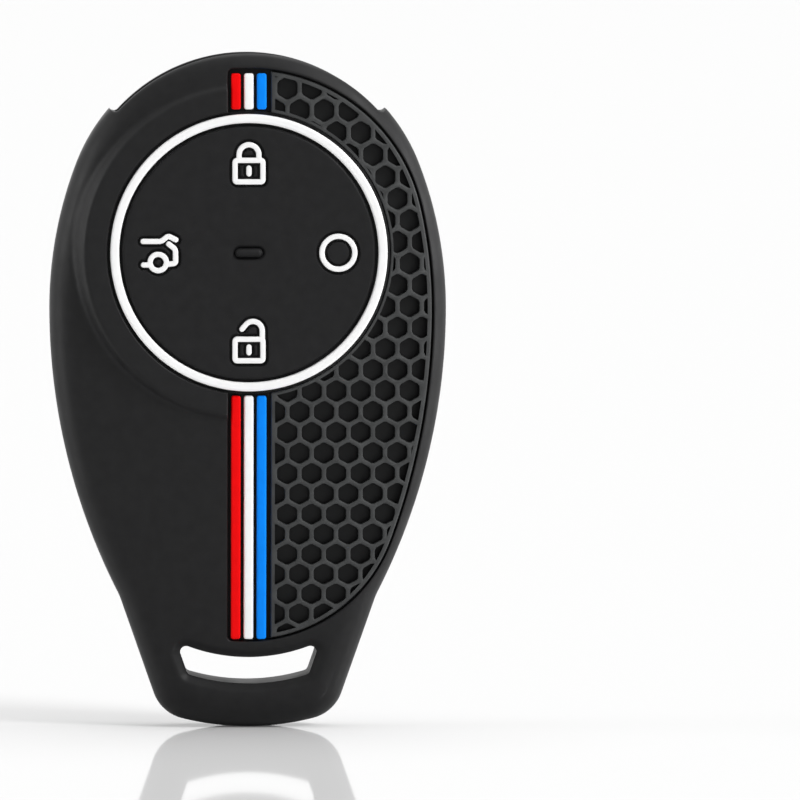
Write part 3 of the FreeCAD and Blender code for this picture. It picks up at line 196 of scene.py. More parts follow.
class CoverColours(bpy.types.PropertyGroup):
    """Colours of the silicones."""

    black: colour("Black", (0.009, 0.009, 0.0094), "Sleeve")
    grip: colour("Grip", (0.044, 0.0455, 0.046), "Ribs of the honeycomb grips")
    # Cell: painted shade, a dark colour given to the cells' walls and floors in place of their shadow
    cell: colour("Cell", (0.0052, 0.0055, 0.0058), "Cells of the honeycomb grips")
    pad: colour("Pad", (0.010, 0.010, 0.0105), "Button field")
    white: colour("White", (0.93, 0.93, 0.93), "Ring, icons and white stripes")
    red: colour("Red", (0.86, 0.001, 0.002), "Red stripes")
    blue: colour("Blue", (0.001, 0.24, 0.92), "Blue stripes")
    floor: colour("Floor", (0.86, 0.86, 0.86), "Floor under the cover")


def in_millimetres(*groups):
    """Gather the values of some property groups, with lengths in millimetres."""
    values = {}
    for group in groups:
        for entry in group.bl_rna.properties:
            if entry.type == "FLOAT" and not entry.is_array:
                value = getattr(group, entry.identifier)
                values[entry.identifier] = value / MM if entry.unit == "LENGTH" else value
    return SimpleNamespace(**values)


# Drawing in the plane of the cover's face, in millimetres across and up

STEP, FINE_STEP = 0.6, 0.12
BUTTON_STEP = 2 * FINE_STEP
SAME_POINT = 1e-4
BEND_POINTS = 6


def bearing(here, there):
    return math.atan2(there[1] - here[1], there[0] - here[0])


def spot(centre, radius, heading):
    return np.array((centre[0] + radius * math.cos(heading), centre[1] + radius * math.sin(heading)))


def arc(centre, radius, first, last, step=STEP):
    """Give points along an arc from one bearing to another."""
    count = max(2, math.ceil(abs(last - first) * radius / step))
    headings = np.linspace(first, last, count + 1)
    return np.asarray(centre) + radius * np.column_stack((np.cos(headings), np.sin(headings)))


def line(start, end, step=STEP):
    count = max(1, math.ceil(math.dist(start, end) / step))
    return np.linspace(start, end, count + 1)


def circle(centre, radius, step=STEP):
    return arc(centre, radius, 0, 2 * math.pi, step)[:-1]


def joined(*stretches):
    """Join stretches of points end to end and leave out repeated ones."""
    points = np.concatenate(stretches)
    moved = np.linalg.norm(np.diff(points, axis=0), axis=1) > SAME_POINT
    return points[np.concatenate(([True], moved))]


def curve(start, pull, end):
    """Give points along a bend from a start to an end, pulled towards a corner."""
    start, pull, end = np.asarray(start), np.asarray(pull), np.asarray(end)
    share = np.linspace(0, 1, BEND_POINTS)[:, None]
    return start * (1 - share) ** 2 + pull * 2 * share * (1 - share) + end * share ** 2


def closed(points):
    """Leave out a last point that repeats the first."""
    return points[:-1] if math.dist(points[0], points[-1]) < SAME_POINT else points


def whole(half):
    """Close a right half, drawn upwards on the middle line, with its mirror image."""
    return closed(joined(half, half[::-1] * (-1, 1)))


def inset(points, depth, loop=True):
    """Move points to their left by a depth; that is inwards on an anticlockwise loop."""
    before, after = np.roll(points, 1, axis=0), np.roll(points, -1, axis=0)
    if not loop:
        before[0], after[-1] = points[0], points[-1]
    heading = after - before
    heading /= np.linalg.norm(heading, axis=1)[:, None]
    return points + depth * np.column_stack((-heading[:, 1], heading[:, 0]))


class Region:
    """The inside of a closed loop."""

    CHUNK = 3000

    def __init__(self, loop):
        self.loop = loop

    def depth(self, places):
        """Give how deep places lie inside the loop; outside counts as less than nothing."""
        start = self.loop
        run = np.roll(start, -1, axis=0) - start
        slope = run[:, 0] / np.where(run[:, 1] == 0, 1, run[:, 1])
        depths = []
        for first in range(0, len(places), self.CHUNK):
            gap = places[first:first + self.CHUNK, None, :] - start
            share = np.clip((gap * run).sum(-1) / (run ** 2).sum(-1), 0, 1)
            near = np.linalg.norm(gap - share[..., None] * run, axis=-1).min(axis=1)
            crossed = (gap[..., 1] < 0) != (gap[..., 1] < run[:, 1])
            left = gap[..., 0] < gap[..., 1] * slope
            inside = (crossed & left).sum(axis=1) % 2 == 1
            depths.append(np.where(inside, near, -near))
        return np.concatenate(depths)


def stroke_gap(strokes, places):
    """Give the distance of places to the nearest of some open or closed lines."""
    nearest = np.full(len(places), np.inf)
    for points in strokes:
        start, run = points[:-1], np.diff(points, axis=0)
        gap = places[:, None, :] - start
        share = np.clip((gap * run).sum(-1) / (run ** 2).sum(-1), 0, 1)
        away = np.linalg.norm(gap - share[..., None] * run, axis=-1).min(axis=1)
        nearest = np.minimum(nearest, away)
    return nearest


# Rounded sections

def quarter(depth, radius):
    """Give the drop of a rounded edge at a depth inside that edge."""
    left = np.clip(radius - depth, 0, radius)
    return radius - np.sqrt(radius ** 2 - left ** 2)


def soft_max(one, other, reach):
    share = np.clip(0.5 + 0.5 * (one - other) / reach, 0, 1)
    return other + (one - other) * share + reach * share * (1 - share)


def soft_min(one, other, reach):
    return -soft_max(-one, -other, reach)


def sunk(level, floor, depth, rim, draft):
    """Sink a level to a floor inside a recess with a rounded rim and a nearly upright wall."""
    room = np.maximum(level - floor, 0)
    near = np.clip(depth + rim, 0, rim)
    edge = rim - np.sqrt(rim ** 2 - near ** 2)
    wall = rim + (room - rim) * np.clip(depth / draft, 0, 1)
    return level - np.minimum(np.where(depth > 0, wall, edge), room)


# Sheets of triangles over the plane, raised to heights

RIM_STEPS = (0.0, 0.06, 0.2, 0.42, 0.7, 1.0)
GRAIN_ROW = 0.866
GRAIN_CLEAR = 0.6
SNAP = 1e-5
WELD = 0.005 * MM
SLIVER = 0.0001 * MM
SHARP_EDGE = math.radians(40)


def grains(low, high, spacing):
    """Give points on a staggered grid."""
    rows = np.arange(low[1], high[1], spacing * GRAIN_ROW)
    columns = np.arange(low[0], high[0], spacing)
    return np.array([
        (across + spacing / 2 * (number % 2), up)
        for number, up in enumerate(rows)
        for across in columns
    ])


def triangulate(loops, chains, keep, spacing):
    """Triangulate the kept part of the plane along loops and open chains."""
    points, edges = [], []
    for stretch, is_loop in [(loop, True) for loop in loops] + [(chain, False) for chain in chains]:
        first = len(points)
        points.extend(stretch)
        edges.extend((first + i, first + i + 1) for i in range(len(stretch) - 1))
        if is_loop:
            edges.append((len(points) - 1, first))
    tree = KDTree(len(points))
    for number, (across, up) in enumerate(points):
        tree.insert((across, up, 0), number)
    tree.balance()
    corners = np.array(points)
    for across, up in grains(corners.min(axis=0), corners.max(axis=0), spacing):
        if tree.find((across, up, 0))[2] > spacing * GRAIN_CLEAR:
            points.append((across, up))
    result = delaunay_2d_cdt([Vector(point) for point in points], edges, [], 0, SNAP)
    places = np.array([place[:] for place in result[0]])
    triangles = np.array(result[2])
    return places, triangles[keep(places[triangles].mean(axis=1))]


def at_depths(places, depths):
    """Set places in space, each at its depth or all at one."""
    return np.column_stack((places[:, 0], np.broadcast_to(depths, len(places)), places[:, 1]))


def bands(count, levels, loop=True):
    """List the faces between rows of as many points each."""
    faces = []
    for level in range(levels - 1):
        low, high = level * count, (level + 1) * count
        for here in range(count if loop else count - 1):
            there = (here + 1) % count
            faces.append((low + here, low + there, high + there, high + here))
    return faces


class Shell:
    """Faces of a piece, gathered in millimetres; its depths run from the front to the back."""

    def __init__(self):
        self.points, self.faces = [], []

    def add(self, points, faces):
        first = sum(len(group) for group in self.points)
        self.points.append(np.asarray(points, float))
        self.faces.extend([tuple(first + corner for corner in face) for face in faces])

    def sheet(self, places, triangles, depths):
        self.add(at_depths(places, depths), triangles)

    def strip(self, places, rows, loop=True):
        """Join rows of depths, each given along the same places."""
        points = [at_depths(places, depths) for depths in rows]
        self.add(np.concatenate(points), bands(len(places), len(rows), loop))

    def slab(self, places, triangles, tops, bottoms):
        """Close a solid between two depths over the same triangles."""
        count = len(places)
        self.sheet(places, triangles, tops)
        self.sheet(places, triangles, bottoms)
        first = sum(len(group) for group in self.points) - 2 * count
        sides = np.concatenate((triangles[:, (0, 1)], triangles[:, (1, 2)], triangles[:, (2, 0)]))
        ordered = np.sort(sides, axis=1)
        _, where, times = np.unique(ordered, axis=0, return_index=True, return_counts=True)
        for here, there in sides[where[times == 1]]:
            self.faces.append((first + here, first + there, first + count + there, first + count + here))

    def mesh(self, name):
        """Make a mesh in metres with its seams closed and its faces outwards."""
        data = bpy.data.meshes.new(name)
        points = np.concatenate(self.points) * MM
        data.from_pydata(points.tolist(), [], [[int(i) for i in face] for face in self.faces])
        work = bmesh.new()
        work.from_mesh(data)
        bmesh.ops.remove_doubles(work, verts=work.verts, dist=WELD)
        bmesh.ops.dissolve_degenerate(work, edges=work.edges, dist=SLIVER)
        loose = [vert for vert in work.verts if not vert.link_faces]
        bmesh.ops.delete(work, geom=loose, context="VERTS")
        bmesh.ops.recalc_face_normals(work, faces=work.faces)
        work.to_mesh(data)
        work.free()
        return data


def show(data, material):
    """Put a mesh in the scene with smooth faces, sharp only past an angle."""
    piece = bpy.data.objects.new(data.name, data)
    bpy.context.scene.collection.objects.link(piece)
    data.materials.clear()
    data.materials.append(material)
    data.shade_smooth()
    data.set_sharp_from_angle(angle=SHARP_EDGE)
    return piece


def fasten(context, data, body, slot, *nodes):
    """Show a mesh in its finish and let it ride on a body in place of its CAD nodes."""
    piece = show(data, finish(context, slot))
    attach(piece, body)
    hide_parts(*nodes)


# The cover's lines

def slide_to(point, heading, centre, distance):
    """Slide a point back along a heading until it lies at a distance from a centre."""
    gap = np.subtract(point, centre)
    half = gap @ heading
    way_back = half + math.sqrt(half ** 2 - gap @ gap + distance ** 2)
    return np.asarray(point) - way_back * np.asarray(heading)


def oval(s, inner=0.0):
    """Work out the arcs of the oval at a depth inside its edge."""
    half = s.body_width / 2
    wide = s.body_height - s.top_rise
    drop = wide - s.neck_height
    side = (s.neck_waist ** 2 + drop ** 2) / (2 * s.neck_waist)
    reach = half - s.shoulder_radius
    top = (s.shoulder_radius ** 2 - reach ** 2 - s.top_rise ** 2) / (2 * (s.shoulder_radius - s.top_rise))
    shoulder_centre, top_centre = (reach, wide), (0.0, s.body_height - top)
    lean = math.asin(drop / side) - s.neck_turn
    return SimpleNamespace(
        half=half - inner,
        wide=wide,
        side_centre=(half - side, wide),
        side_radius=side - inner,
        shoulder_centre=shoulder_centre,
        shoulder_radius=s.shoulder_radius - inner,
        shoulder_turn=bearing(shoulder_centre, top_centre),
        top_centre=top_centre,
        top_radius=top - inner,
        neck=(half - s.neck_waist, s.neck_height),
        tab_lean=lean,
        tab_flank=(math.sin(lean), math.cos(lean)),
        tab_outward=np.array((math.cos(lean), -math.sin(lean))),
        mouth_half=-reach * top / (s.shoulder_radius - top) - s.mouth_step,
    )


def upper_side(o, first):
    """Draw the oval's side from a bearing on its lower arc up to the top arc."""
    return joined(
        arc(o.side_centre, o.side_radius, first, 0),
        arc(o.shoulder_centre, o.shoulder_radius, 0, o.shoulder_turn),
    )


def tab_side(s, o):
    """Draw the strap tab from the middle of its base up to the oval."""
    heading, outward = o.tab_flank, o.tab_outward
    base_centre = (0.0, s.base_radius)
    corner = slide_to(o.neck - s.tab_corner * outward, heading, base_centre, s.base_radius - s.tab_corner)
    neck = slide_to(o.neck + s.neck_radius * outward, heading, o.side_centre, o.side_radius + s.neck_radius)
    turn = bearing(base_centre, corner)
    lean = -o.tab_lean
    meeting = bearing(neck, o.side_centre)
    return joined(
        arc(base_centre, s.base_radius, -math.pi / 2, turn),
        arc(corner, s.tab_corner, turn, lean),
        line(corner + s.tab_corner * outward, neck - s.neck_radius * outward),
        arc(neck, s.neck_radius, math.pi + lean, meeting % (2 * math.pi)),
        upper_side(o, bearing(o.side_centre, neck)),
    )


def lip_side(s, o):
    """Draw the notch of the right lip down to the mouth's side, and the lip to the middle."""
    half = o.mouth_half + s.notch_step - s.notch_round
    lip_radius = o.top_radius - s.lip_trim
    rise = math.sqrt((lip_radius + s.notch_round) ** 2 - half ** 2)
    centre = (half, o.top_centre[1] + rise)
    mouth = -math.acos((o.mouth_half - half) / s.notch_round)
    foot = bearing(centre, o.top_centre)
    crest = o.top_radius, math.acos((half + s.notch_round) / o.top_radius)
    before = spot(o.top_centre, crest[0], crest[1] - s.notch_crest / crest[0])
    corner = spot(o.top_centre, *crest)
    after = spot(centre, s.notch_round, mouth / 3)
    notch = joined(
        curve(before, corner, after),
        arc(centre, s.notch_round, mouth / 3, mouth, FINE_STEP),
    )
    lip = joined(
        arc(centre, s.notch_round, mouth, foot, FINE_STEP),
        arc(o.top_centre, lip_radius, bearing(o.top_centre, centre), math.pi / 2),
    )
    return notch, lip


def pocket_side(s, lip):
    """Draw the pocket from the middle of its floor up to the mouth."""
    o = oval(s, s.wall)
    floor = s.slot_level + s.strap_bridge
    reach = o.side_radius - s.pocket_corner
    drop = floor + s.pocket_corner - o.wide
    corner = (o.side_centre[0] + math.sqrt(reach ** 2 - drop ** 2), floor + s.pocket_corner)
    turn = bearing(o.side_centre, corner)
    gate = math.acos(o.mouth_half / o.top_radius)
    return joined(
        line((0.0, floor), (corner[0], floor)),
        arc(corner, s.pocket_corner, -math.pi / 2, turn),
        upper_side(o, turn),
        arc(o.top_centre, o.top_radius, o.shoulder_turn, gate),
        line(spot(o.top_centre, o.top_radius, gate), lip[0]),
        lip,
    )


def slot_side(s, o):
    """Draw the right half of the strap slot, from its lower edge round to its upper edge."""
    heading, outward = o.tab_flank, o.tab_outward
    centre = (0.0, s.slot_level + s.slot_bend)
    inside = np.array((s.slot_width / 2, s.slot_level)) - s.slot_corner * outward
    low = slide_to(inside, heading, centre, s.slot_bend + s.slot_height - s.slot_corner)
    high = slide_to(inside, heading, centre, s.slot_bend + s.slot_corner)
    lean = -o.tab_lean
    return joined(
        arc(centre, s.slot_bend + s.slot_height, -math.pi / 2, bearing(centre, low)),
        arc(low, s.slot_corner, bearing(centre, low), lean, FINE_STEP),
        line(low + s.slot_corner * outward, high + s.slot_corner * outward),
        arc(high, s.slot_corner, lean, bearing(high, centre), FINE_STEP),
        arc(centre, s.slot_bend, bearing(centre, high), -math.pi / 2),
    )


def recess_side(s, inner, across):
    """Draw a recess's edge, at a depth inside it, from its foot round to its top at one place across."""
    rim = SimpleNamespace(**vars(s))
    rim.body_width -= 2 * s.rim_width
    rim.body_height -= s.rim_top
    rim.top_rise -= s.rim_top
    rim.shoulder_radius = s.recess_shoulder
    o = oval(rim, inner)
    half = o.half + inner
    foot = half - s.foot_step
    foot_centre = (0.0, s.slot_level + s.foot_bridge + foot)
    drop = o.wide - foot_centre[1]
    side = (half ** 2 + drop ** 2 - foot ** 2) / (2 * s.foot_step)
    side_centre = (half - side, o.wide)
    turn = bearing(side_centre, foot_centre)
    return joined(
        arc(foot_centre, foot - inner, -math.acos(across / (foot - inner)), turn),
        arc(side_centre, side - inner, turn, 0),
        arc(o.shoulder_centre, o.shoulder_radius, 0, o.shoulder_turn),
        arc(o.top_centre, o.top_radius, o.shoulder_turn, math.acos(across / o.top_radius)),
    )


def recess_loop(s):
    """Draw the recess for the stripes and a grip, with round corners beside the stripes."""
    corner = s.recess_corner
    across = corner - s.channel_side
    edge = recess_side(s, 0.0, across)
    high, low = edge[-1] - (0, corner), edge[0] + (0, corner)
    return closed(joined(
        edge,
        arc(high, corner, math.pi / 2, math.pi, FINE_STEP),
        line(high - (corner, 0), low - (corner, 0)),
        arc(low, corner, math.pi, 1.5 * math.pi, FINE_STEP),
    ))


def grip_loop(s, inner, across, drum=None):
    """Draw a grip's edge at a depth inside the recess; the front one goes round the drum."""
    edge = recess_side(s, inner, across)
    if drum is None:
        return closed(joined(edge, line(edge[-1], edge[0])))
    middle = (0.0, s.field_height)
    turn = math.acos(across / drum)
    return closed(joined(
        edge,
        line(edge[-1], spot(middle, drum, turn)),
        arc(middle, drum, turn, -turn),
        line(spot(middle, drum, -turn), edge[0]),
    ))


MOUTH_MARGIN = 0.001


class CoverForm:
    """The cover's regions and the heights of its faces above the middle plane."""

    def __init__(self, s):
        self.s = s
        o = oval(s)
        tab = tab_side(s, o)
        notch, lip = lip_side(s, o)
        gate = bearing(o.top_centre, notch[0])
        self.mouth_half = o.mouth_half
        self.middle = np.array((0.0, s.field_height))
        top = arc(o.top_centre, o.top_radius, o.shoulder_turn, math.pi / 2)
        self.outline = Region(whole(joined(tab, top)))
        shoulder = arc(o.top_centre, o.top_radius, o.shoulder_turn, gate)
        self.lips = joined(notch, lip, lip[::-1] * (-1, 1), notch[::-1] * (-1, 1))
        self.mouth = joined(lip, lip[::-1] * (-1, 1))
        self.rim = Region(whole(joined(tab, shoulder, notch, lip)))
        self.pocket = Region(whole(pocket_side(s, lip)))
        self.slot = Region(whole(slot_side(s, o)))
        self.recess = Region(recess_loop(s))
        self.seat_radius = s.ring_radius + s.ring_groove
        self.pad_radius = s.ring_radius - s.ring_band - s.ring_groove
        self.window_radius = self.pad_radius - s.seat_ledge
        self.drum_radius = self.seat_radius + s.drum_shoulder

    def crown(self, side, places, inner=0.0):
        """Give the height of a crown at a depth below it."""
        s = self.s
        cross, depth = getattr(s, side + "_cross_radius"), getattr(s, side + "_depth")
        rise = places[:, 1] - (s.body_height - s.top_rise + s.crown_rise)
        reach = cross - s.crown_radius + np.sqrt((s.crown_radius - inner) ** 2 - rise ** 2)
        return np.sqrt(reach ** 2 - places[:, 0] ** 2) - (cross - depth)

    def from_middle(self, places):
        return np.linalg.norm(places - self.middle, axis=1)

    def lip_drop(self, places, depth):
        """Give the drop of a lip's soft edge; the share tells a lip from the plain edge."""
        near = self.rim.depth(places)
        share = np.clip((depth - near) / (self.s.lip_trim / 2), 0, 1)
        return share * quarter(near, self.s.lip_round)

    def skin(self, side, places):
        """Give the height of the shell's outside before anything is sunk into it."""
        s = self.s
        depth = self.outline.depth(places)
        level = self.crown(side, places) - quarter(depth, s.edge_round)
        if side == "front":
            fall = (self.from_middle(places) - self.drum_radius) / math.tan(s.drum_draft)
            drum = soft_min(s.face, s.face - fall, s.drum_round)
            level = soft_max(level, drum, s.drum_round)
        level = level - self.lip_drop(places, depth)
        away = np.clip(-self.slot.depth(places) / s.slot_dish, 0, 1)
        return level - s.slot_round * (0.5 + 0.5 * np.cos(math.pi * away))

    def hollow(self, side, places):
        """Give how deep places lie inside what is sunk into one side of the shell."""
        recess = self.recess.depth(places)
        if side == "back":
            return recess
        return np.maximum(recess, self.seat_radius - self.from_middle(places))

    def outside(self, side, places):
        """Give the height of the finished outside."""
        s = self.s
        floor = self.crown(side, places, s.recess_depth)
        if side == "front":
            in_seat = self.from_middle(places) < self.seat_radius
            floor = np.where(in_seat, s.face - s.seat_depth, floor)
        return sunk(self.skin(side, places), floor, self.hollow(side, places), s.recess_rim, s.recess_draft)

    def lining(self, side, places):
        """Give the height of the pocket's inside, which opens a little at the lips."""
        depth = self.outline.depth(places)
        in_mouth = np.abs(places[:, 0]) < self.mouth_half - MOUTH_MARGIN
        return self.crown(side, places, self.s.wall) + in_mouth * self.lip_drop(places, depth)


SIGNS = {"front": -1, "back": 1}
EDGE_CLEAR, LIP_CLEAR, DRUM_CLEAR, WINDOW_CLEAR = 0.04, 0.012, 0.1, 0.3
DRUM_INSIDE, DRUM_OUTSIDE, DRUM_LINES = 1.0, 1.8, 15
WINDOW_MARGIN = 0.02


def clipped(points, region, least):
    """Split points into chains that lie inside a region by a least depth."""
    inside = region.depth(points) > least
    cuts = np.flatnonzero(np.diff(inside)) + 1
    stretches = np.split(points, cuts)
    return [stretch for stretch in stretches if len(stretch) > 1 and region.depth(stretch[:1])[0] > least]


def edge_chains(loop, region, radius, outwards=False):
    """Draw the lines that carry a rounded edge, inside a region."""
    chains = []
    for share in RIM_STEPS[1:]:
        line_in = inset(loop, -radius * share if outwards else radius * share)
        chains += clipped(np.concatenate((line_in, line_in[:1])), region, EDGE_CLEAR)
    return chains


def lip_chains(lip, region, radius):
    """Draw the lines that carry a lip's soft edge, inside a region."""
    lines = [inset(lip, radius * share, loop=False) for share in RIM_STEPS[1:]]
    return [chain for points in lines for chain in clipped(points, region, LIP_CLEAR)]


def clear_of_window(form, loop):
    """Cut a loop into chains that stop short of the window, on the floor of the ring's seat."""
    clear = form.from_middle(loop) > form.window_radius + WINDOW_CLEAR
    first = int(np.argmin(clear))
    loop, clear = np.roll(loop, -first, axis=0), np.roll(clear, -first)
    cuts = np.flatnonzero(np.diff(clear)) + 1
    stretches = zip(np.split(loop, cuts), np.split(clear, cuts))
    return [stretch for stretch, kept in stretches if len(stretch) > 1 and kept[0]]


def fill(loop, chains, spacing):
    """Triangulate the inside of a loop along some chains."""
    region = Region(loop)
    return triangulate([loop], chains, lambda spots: region.depth(spots) > 0, spacing)


def rounded_fill(loop, radius, spacing):
    """Triangulate the inside of a loop along the lines that carry its rounded edge."""
    region = Region(loop)
    return region, *fill(loop, edge_chains(loop, region, radius), spacing)


def sheet_lines(form, side):
    """Draw the loops and chains that an outside sheet of the shell follows."""
    s = form.s
    loops = [form.rim.loop, form.slot.loop]
    chains = edge_chains(form.outline.loop, form.rim, s.edge_round)
    chains += lip_chains(form.lips, form.rim, s.lip_round)
    chains += edge_chains(form.slot.loop, form.rim, s.slot_dish, outwards=True)
    levels = [-s.recess_rim * share for share in RIM_STEPS[::-1]] + [s.recess_draft, 3 * s.recess_draft]
    recess_lines = [inset(form.recess.loop, level) for level in levels]
    if side == "back":
        loops += recess_lines
    else:
        for loop in recess_lines:
            chains += clear_of_window(form, loop)
        loops.append(circle(form.middle, form.window_radius))
        loops += [circle(form.middle, form.seat_radius - level, STEP / 2) for level in levels]
        for away in np.linspace(-DRUM_INSIDE, DRUM_OUTSIDE, DRUM_LINES):
            chains += clipped(circle(form.middle, form.drum_radius + away), form.rim, DRUM_CLEAR)
    return loops, chains


def beside(loop, stretch):
    """Give the rest of a loop that holds a stretch, from the stretch's end round to its start."""
    first = int(np.linalg.norm(loop - stretch[0], axis=1).argmin())
    return np.concatenate((np.roll(loop, -first, axis=0)[len(stretch) - 1:], stretch[:1]))


def shell_of(form):
    """Build the soft shell: two outsides, two linings, and the walls between them."""
    s = form.s
    shell = Shell()
    window = circle(form.middle, form.window_radius)
    for side, sign in SIGNS.items():
        def is_solid(places):
            return (side == "back") | (form.from_middle(places) > form.window_radius - WINDOW_MARGIN)

        def is_shell(places):
            return (form.rim.depth(places) > 0) & (form.slot.depth(places) < 0) & is_solid(places)

        def is_lining(places):
            return (form.pocket.depth(places) > 0) & is_solid(places)

        places, triangles = triangulate(*sheet_lines(form, side), is_shell, spacing=1.3)
        shell.sheet(places, triangles, sign * form.outside(side, places))
        loops = [form.pocket.loop] + ([window] if side == "front" else [])
        mouth_lines = lip_chains(form.mouth, form.pocket, s.lip_round)
        places, triangles = triangulate(loops, mouth_lines, is_lining, spacing=2.5)
        shell.sheet(places, triangles, sign * form.lining(side, places))

    def front(places):
        return -form.outside("front", places)

    def back(places):
        return form.outside("back", places)

    def front_lining(places):
        return -form.lining("front", places)

    def back_lining(places):
        return form.lining("back", places)

    shell.strip(form.slot.loop, [front(form.slot.loop), back(form.slot.loop)])
    shell.strip(window, [front(window), front_lining(window)])
    shell.strip(form.mouth, [front(form.mouth), front_lining(form.mouth)], loop=False)
    shell.strip(form.mouth, [back(form.mouth), back_lining(form.mouth)], loop=False)
    inner = beside(form.pocket.loop, form.mouth)
    shell.strip(inner, [front_lining(inner), back_lining(inner)], loop=False)
    outer = beside(form.rim.loop, form.mouth)
    near, far = front(outer), back(outer)
    end = form.mouth[:1]
    span = back(end) - front(end)
    shares = [(front_lining(end) - front(end)) / span, (back_lining(end) - front(end)) / span]
    rows = [near] + [near + share * (far - near) for share in shares] + [far]
    shell.strip(outer, rows, loop=False)
    return shell


# Finishes

NOISE_LOW, NOISE_HIGH = 0.3, 0.7
MOTTLE_NOISE, GLOSS_NOISE, GRAIN_NOISE = (700.0, 4.0), (260.0, 3.0), (5200.0, 2.0)
GLOSS_SPREAD = 0.05
GRAIN_HEIGHT = 0.02
CELL_DEPTH = "cell_depth"
# Depths over which the painted shade in the honeycomb cells fades in
CELL_FADE = (0.05, 0.7)
# Slot: colour, roughness, shine, grain and speck
FINISHES = {
    "black_silicone": ("black", 0.48, 0.16, 0.06, 0.16),
    "grip_silicone": ("grip", 0.44, 0.16, 0.06, 0.16),
    "pad_silicone": ("pad", 0.52, 0.14, 0.06, 0.16),
    "white_silicone": ("white", 0.45, 0.3, 0.03, 0.02),
    "red_silicone": ("red", 0.5, 0.08, 0.03, 0.04),
    "blue_silicone": ("blue", 0.5, 0.08, 0.03, 0.04),
}


def preset(node, **values):
    """Set some inputs of a node; a name's underscores stand for spaces."""
    for name, value in values.items():
        node.inputs[name.replace("_", " ")].default_value = value


def maths(tree, operation, *values):
    """Add a sum to a node tree; its values are numbers or other nodes' outputs."""
    node = tree.nodes.new("ShaderNodeMath")
    node.operation = operation
    for socket, value in zip(node.inputs, values):
        if isinstance(value, (int, float)):
            socket.default_value = value
        else:
            tree.links.new(value, socket)
    return node.outputs["Value"]


def silicone(name, shade, roughness, shine, grain, speck):
    """Make a moulded silicone: fine grain, faint mottling and uneven gloss."""
    material = bpy.data.materials.new(name)
    material.use_nodes = True
    nodes, links = material.node_tree.nodes, material.node_tree.links
    shader = nodes["Principled BSDF"]
    place = nodes.new("ShaderNodeTexCoord")

    def noise(scale, detail):
        node = nodes.new("ShaderNodeTexNoise")
        preset(node, Scale=scale, Detail=detail)
        links.new(place.outputs["Object"], node.inputs["Vector"])
        return node.outputs["Fac"]

    mottle = nodes.new("ShaderNodeValToRGB")
    dark, light = mottle.color_ramp.elements
    dark.position, light.position = NOISE_LOW, NOISE_HIGH
    dark.color = (*[channel * (1 - speck) for channel in shade], 1)
    light.color = (*[min(channel * (1 + speck), 1) for channel in shade], 1)
    links.new(noise(*MOTTLE_NOISE), mottle.inputs["Fac"])
    links.new(mottle.outputs["Color"], shader.inputs["Base Color"])

    gloss = nodes.new("ShaderNodeMapRange")
    preset(gloss, From_Min=NOISE_LOW, From_Max=NOISE_HIGH)
    preset(gloss, To_Min=roughness - GLOSS_SPREAD, To_Max=roughness + GLOSS_SPREAD)
    links.new(noise(*GLOSS_NOISE), gloss.inputs["Value"])
    links.new(gloss.outputs["Result"], shader.inputs["Roughness"])

    bump = nodes.new("ShaderNodeBump")
    preset(bump, Strength=grain, Distance=GRAIN_HEIGHT * MM)
    links.new(noise(*GRAIN_NOISE), bump.inputs["Height"])
    links.new(bump.outputs["Normal"], shader.inputs["Normal"])
    preset(shader, Specular_IOR_Level=shine)
    return material


def paint_cell_shade(material, cell):
    """Leave the ribs as they are and darken the cells towards their floors, as painted shade in the
    honeycomb's hollows.
    """
    nodes, links = material.node_tree.nodes, material.node_tree.links
    base = nodes["Principled BSDF"].inputs["Base Color"]
    rib = base.links[0].from_socket
    depth = nodes.new("ShaderNodeAttribute")
    depth.attribute_name = CELL_DEPTH
    fade = nodes.new("ShaderNodeMapRange")
    preset(fade, From_Min=CELL_FADE[0], From_Max=CELL_FADE[1])
    links.new(depth.outputs["Fac"], fade.inputs["Value"])
    # Painted shade: the deeper a point lies in a cell, the more the dark cell colour replaces the grip colour
    mix = nodes.new("ShaderNodeMix")
    mix.data_type = "RGBA"
    links.new(fade.outputs["Result"], mix.inputs["Factor"])
    links.new(rib, mix.inputs["A"])
    mix.inputs["B"].default_value = (*cell, 1)
    links.new(mix.outputs["Result"], base)


def finish(context, slot):
    """Find or make the finish for one of the record's slots."""
    name = slot + "_finish"
    if name in bpy.data.materials:
        return bpy.data.materials[name]
    colours = context.scene.cover_colours
    shade, *surface = FINISHES[slot]
    material = silicone(name, getattr(colours, shade), *surface)
    if slot == "grip_silicone":
        # Painted shade in the honeycomb cells
        paint_cell_shade(material, colours.cell)
    return material


def form_of(context):
    return CoverForm(in_millimetres(context.scene.sleeve_sizes, context.scene.inset_sizes))


class COVER_OT_sleeve(bpy.types.Operator):
    """Build the soft shell with its pocket, lips, strap slot and recesses"""

    bl_idname = "cover.sleeve"
    bl_label = "Sleeve"

    def execute(self, context):
        data = shell_of(form_of(context)).mesh("sleeve_shell")
        fasten(context, data, ROOT, "black_silicone", "sleeve")
        return {"FINISHED"}


# Honeycomb grips

ROW_GROWTH = 0.005
ROW_MIDDLE = 47.0
DRUM_BORDER = 0.8
FIELD_HEAD = 1.0
PLUG_HEAD, PLUG_TAPER, PLUG_SOFT = 0.2, 0.05, 0.14
FLARE_MIDDLE, FLARE_END = (0.35, 0.45), 1.2


def evened(row, heights):
    """Move heights to where all rows of the honeycomb would be as high as the middle one."""
    return row / ROW_GROWTH * np.log1p(ROW_GROWTH / row * (heights - ROW_MIDDLE))


def grown(row, heights):
    """Move heights back, so that the rows grow towards the top."""
    return ROW_MIDDLE + row / ROW_GROWTH * np.expm1(ROW_GROWTH / row * heights)


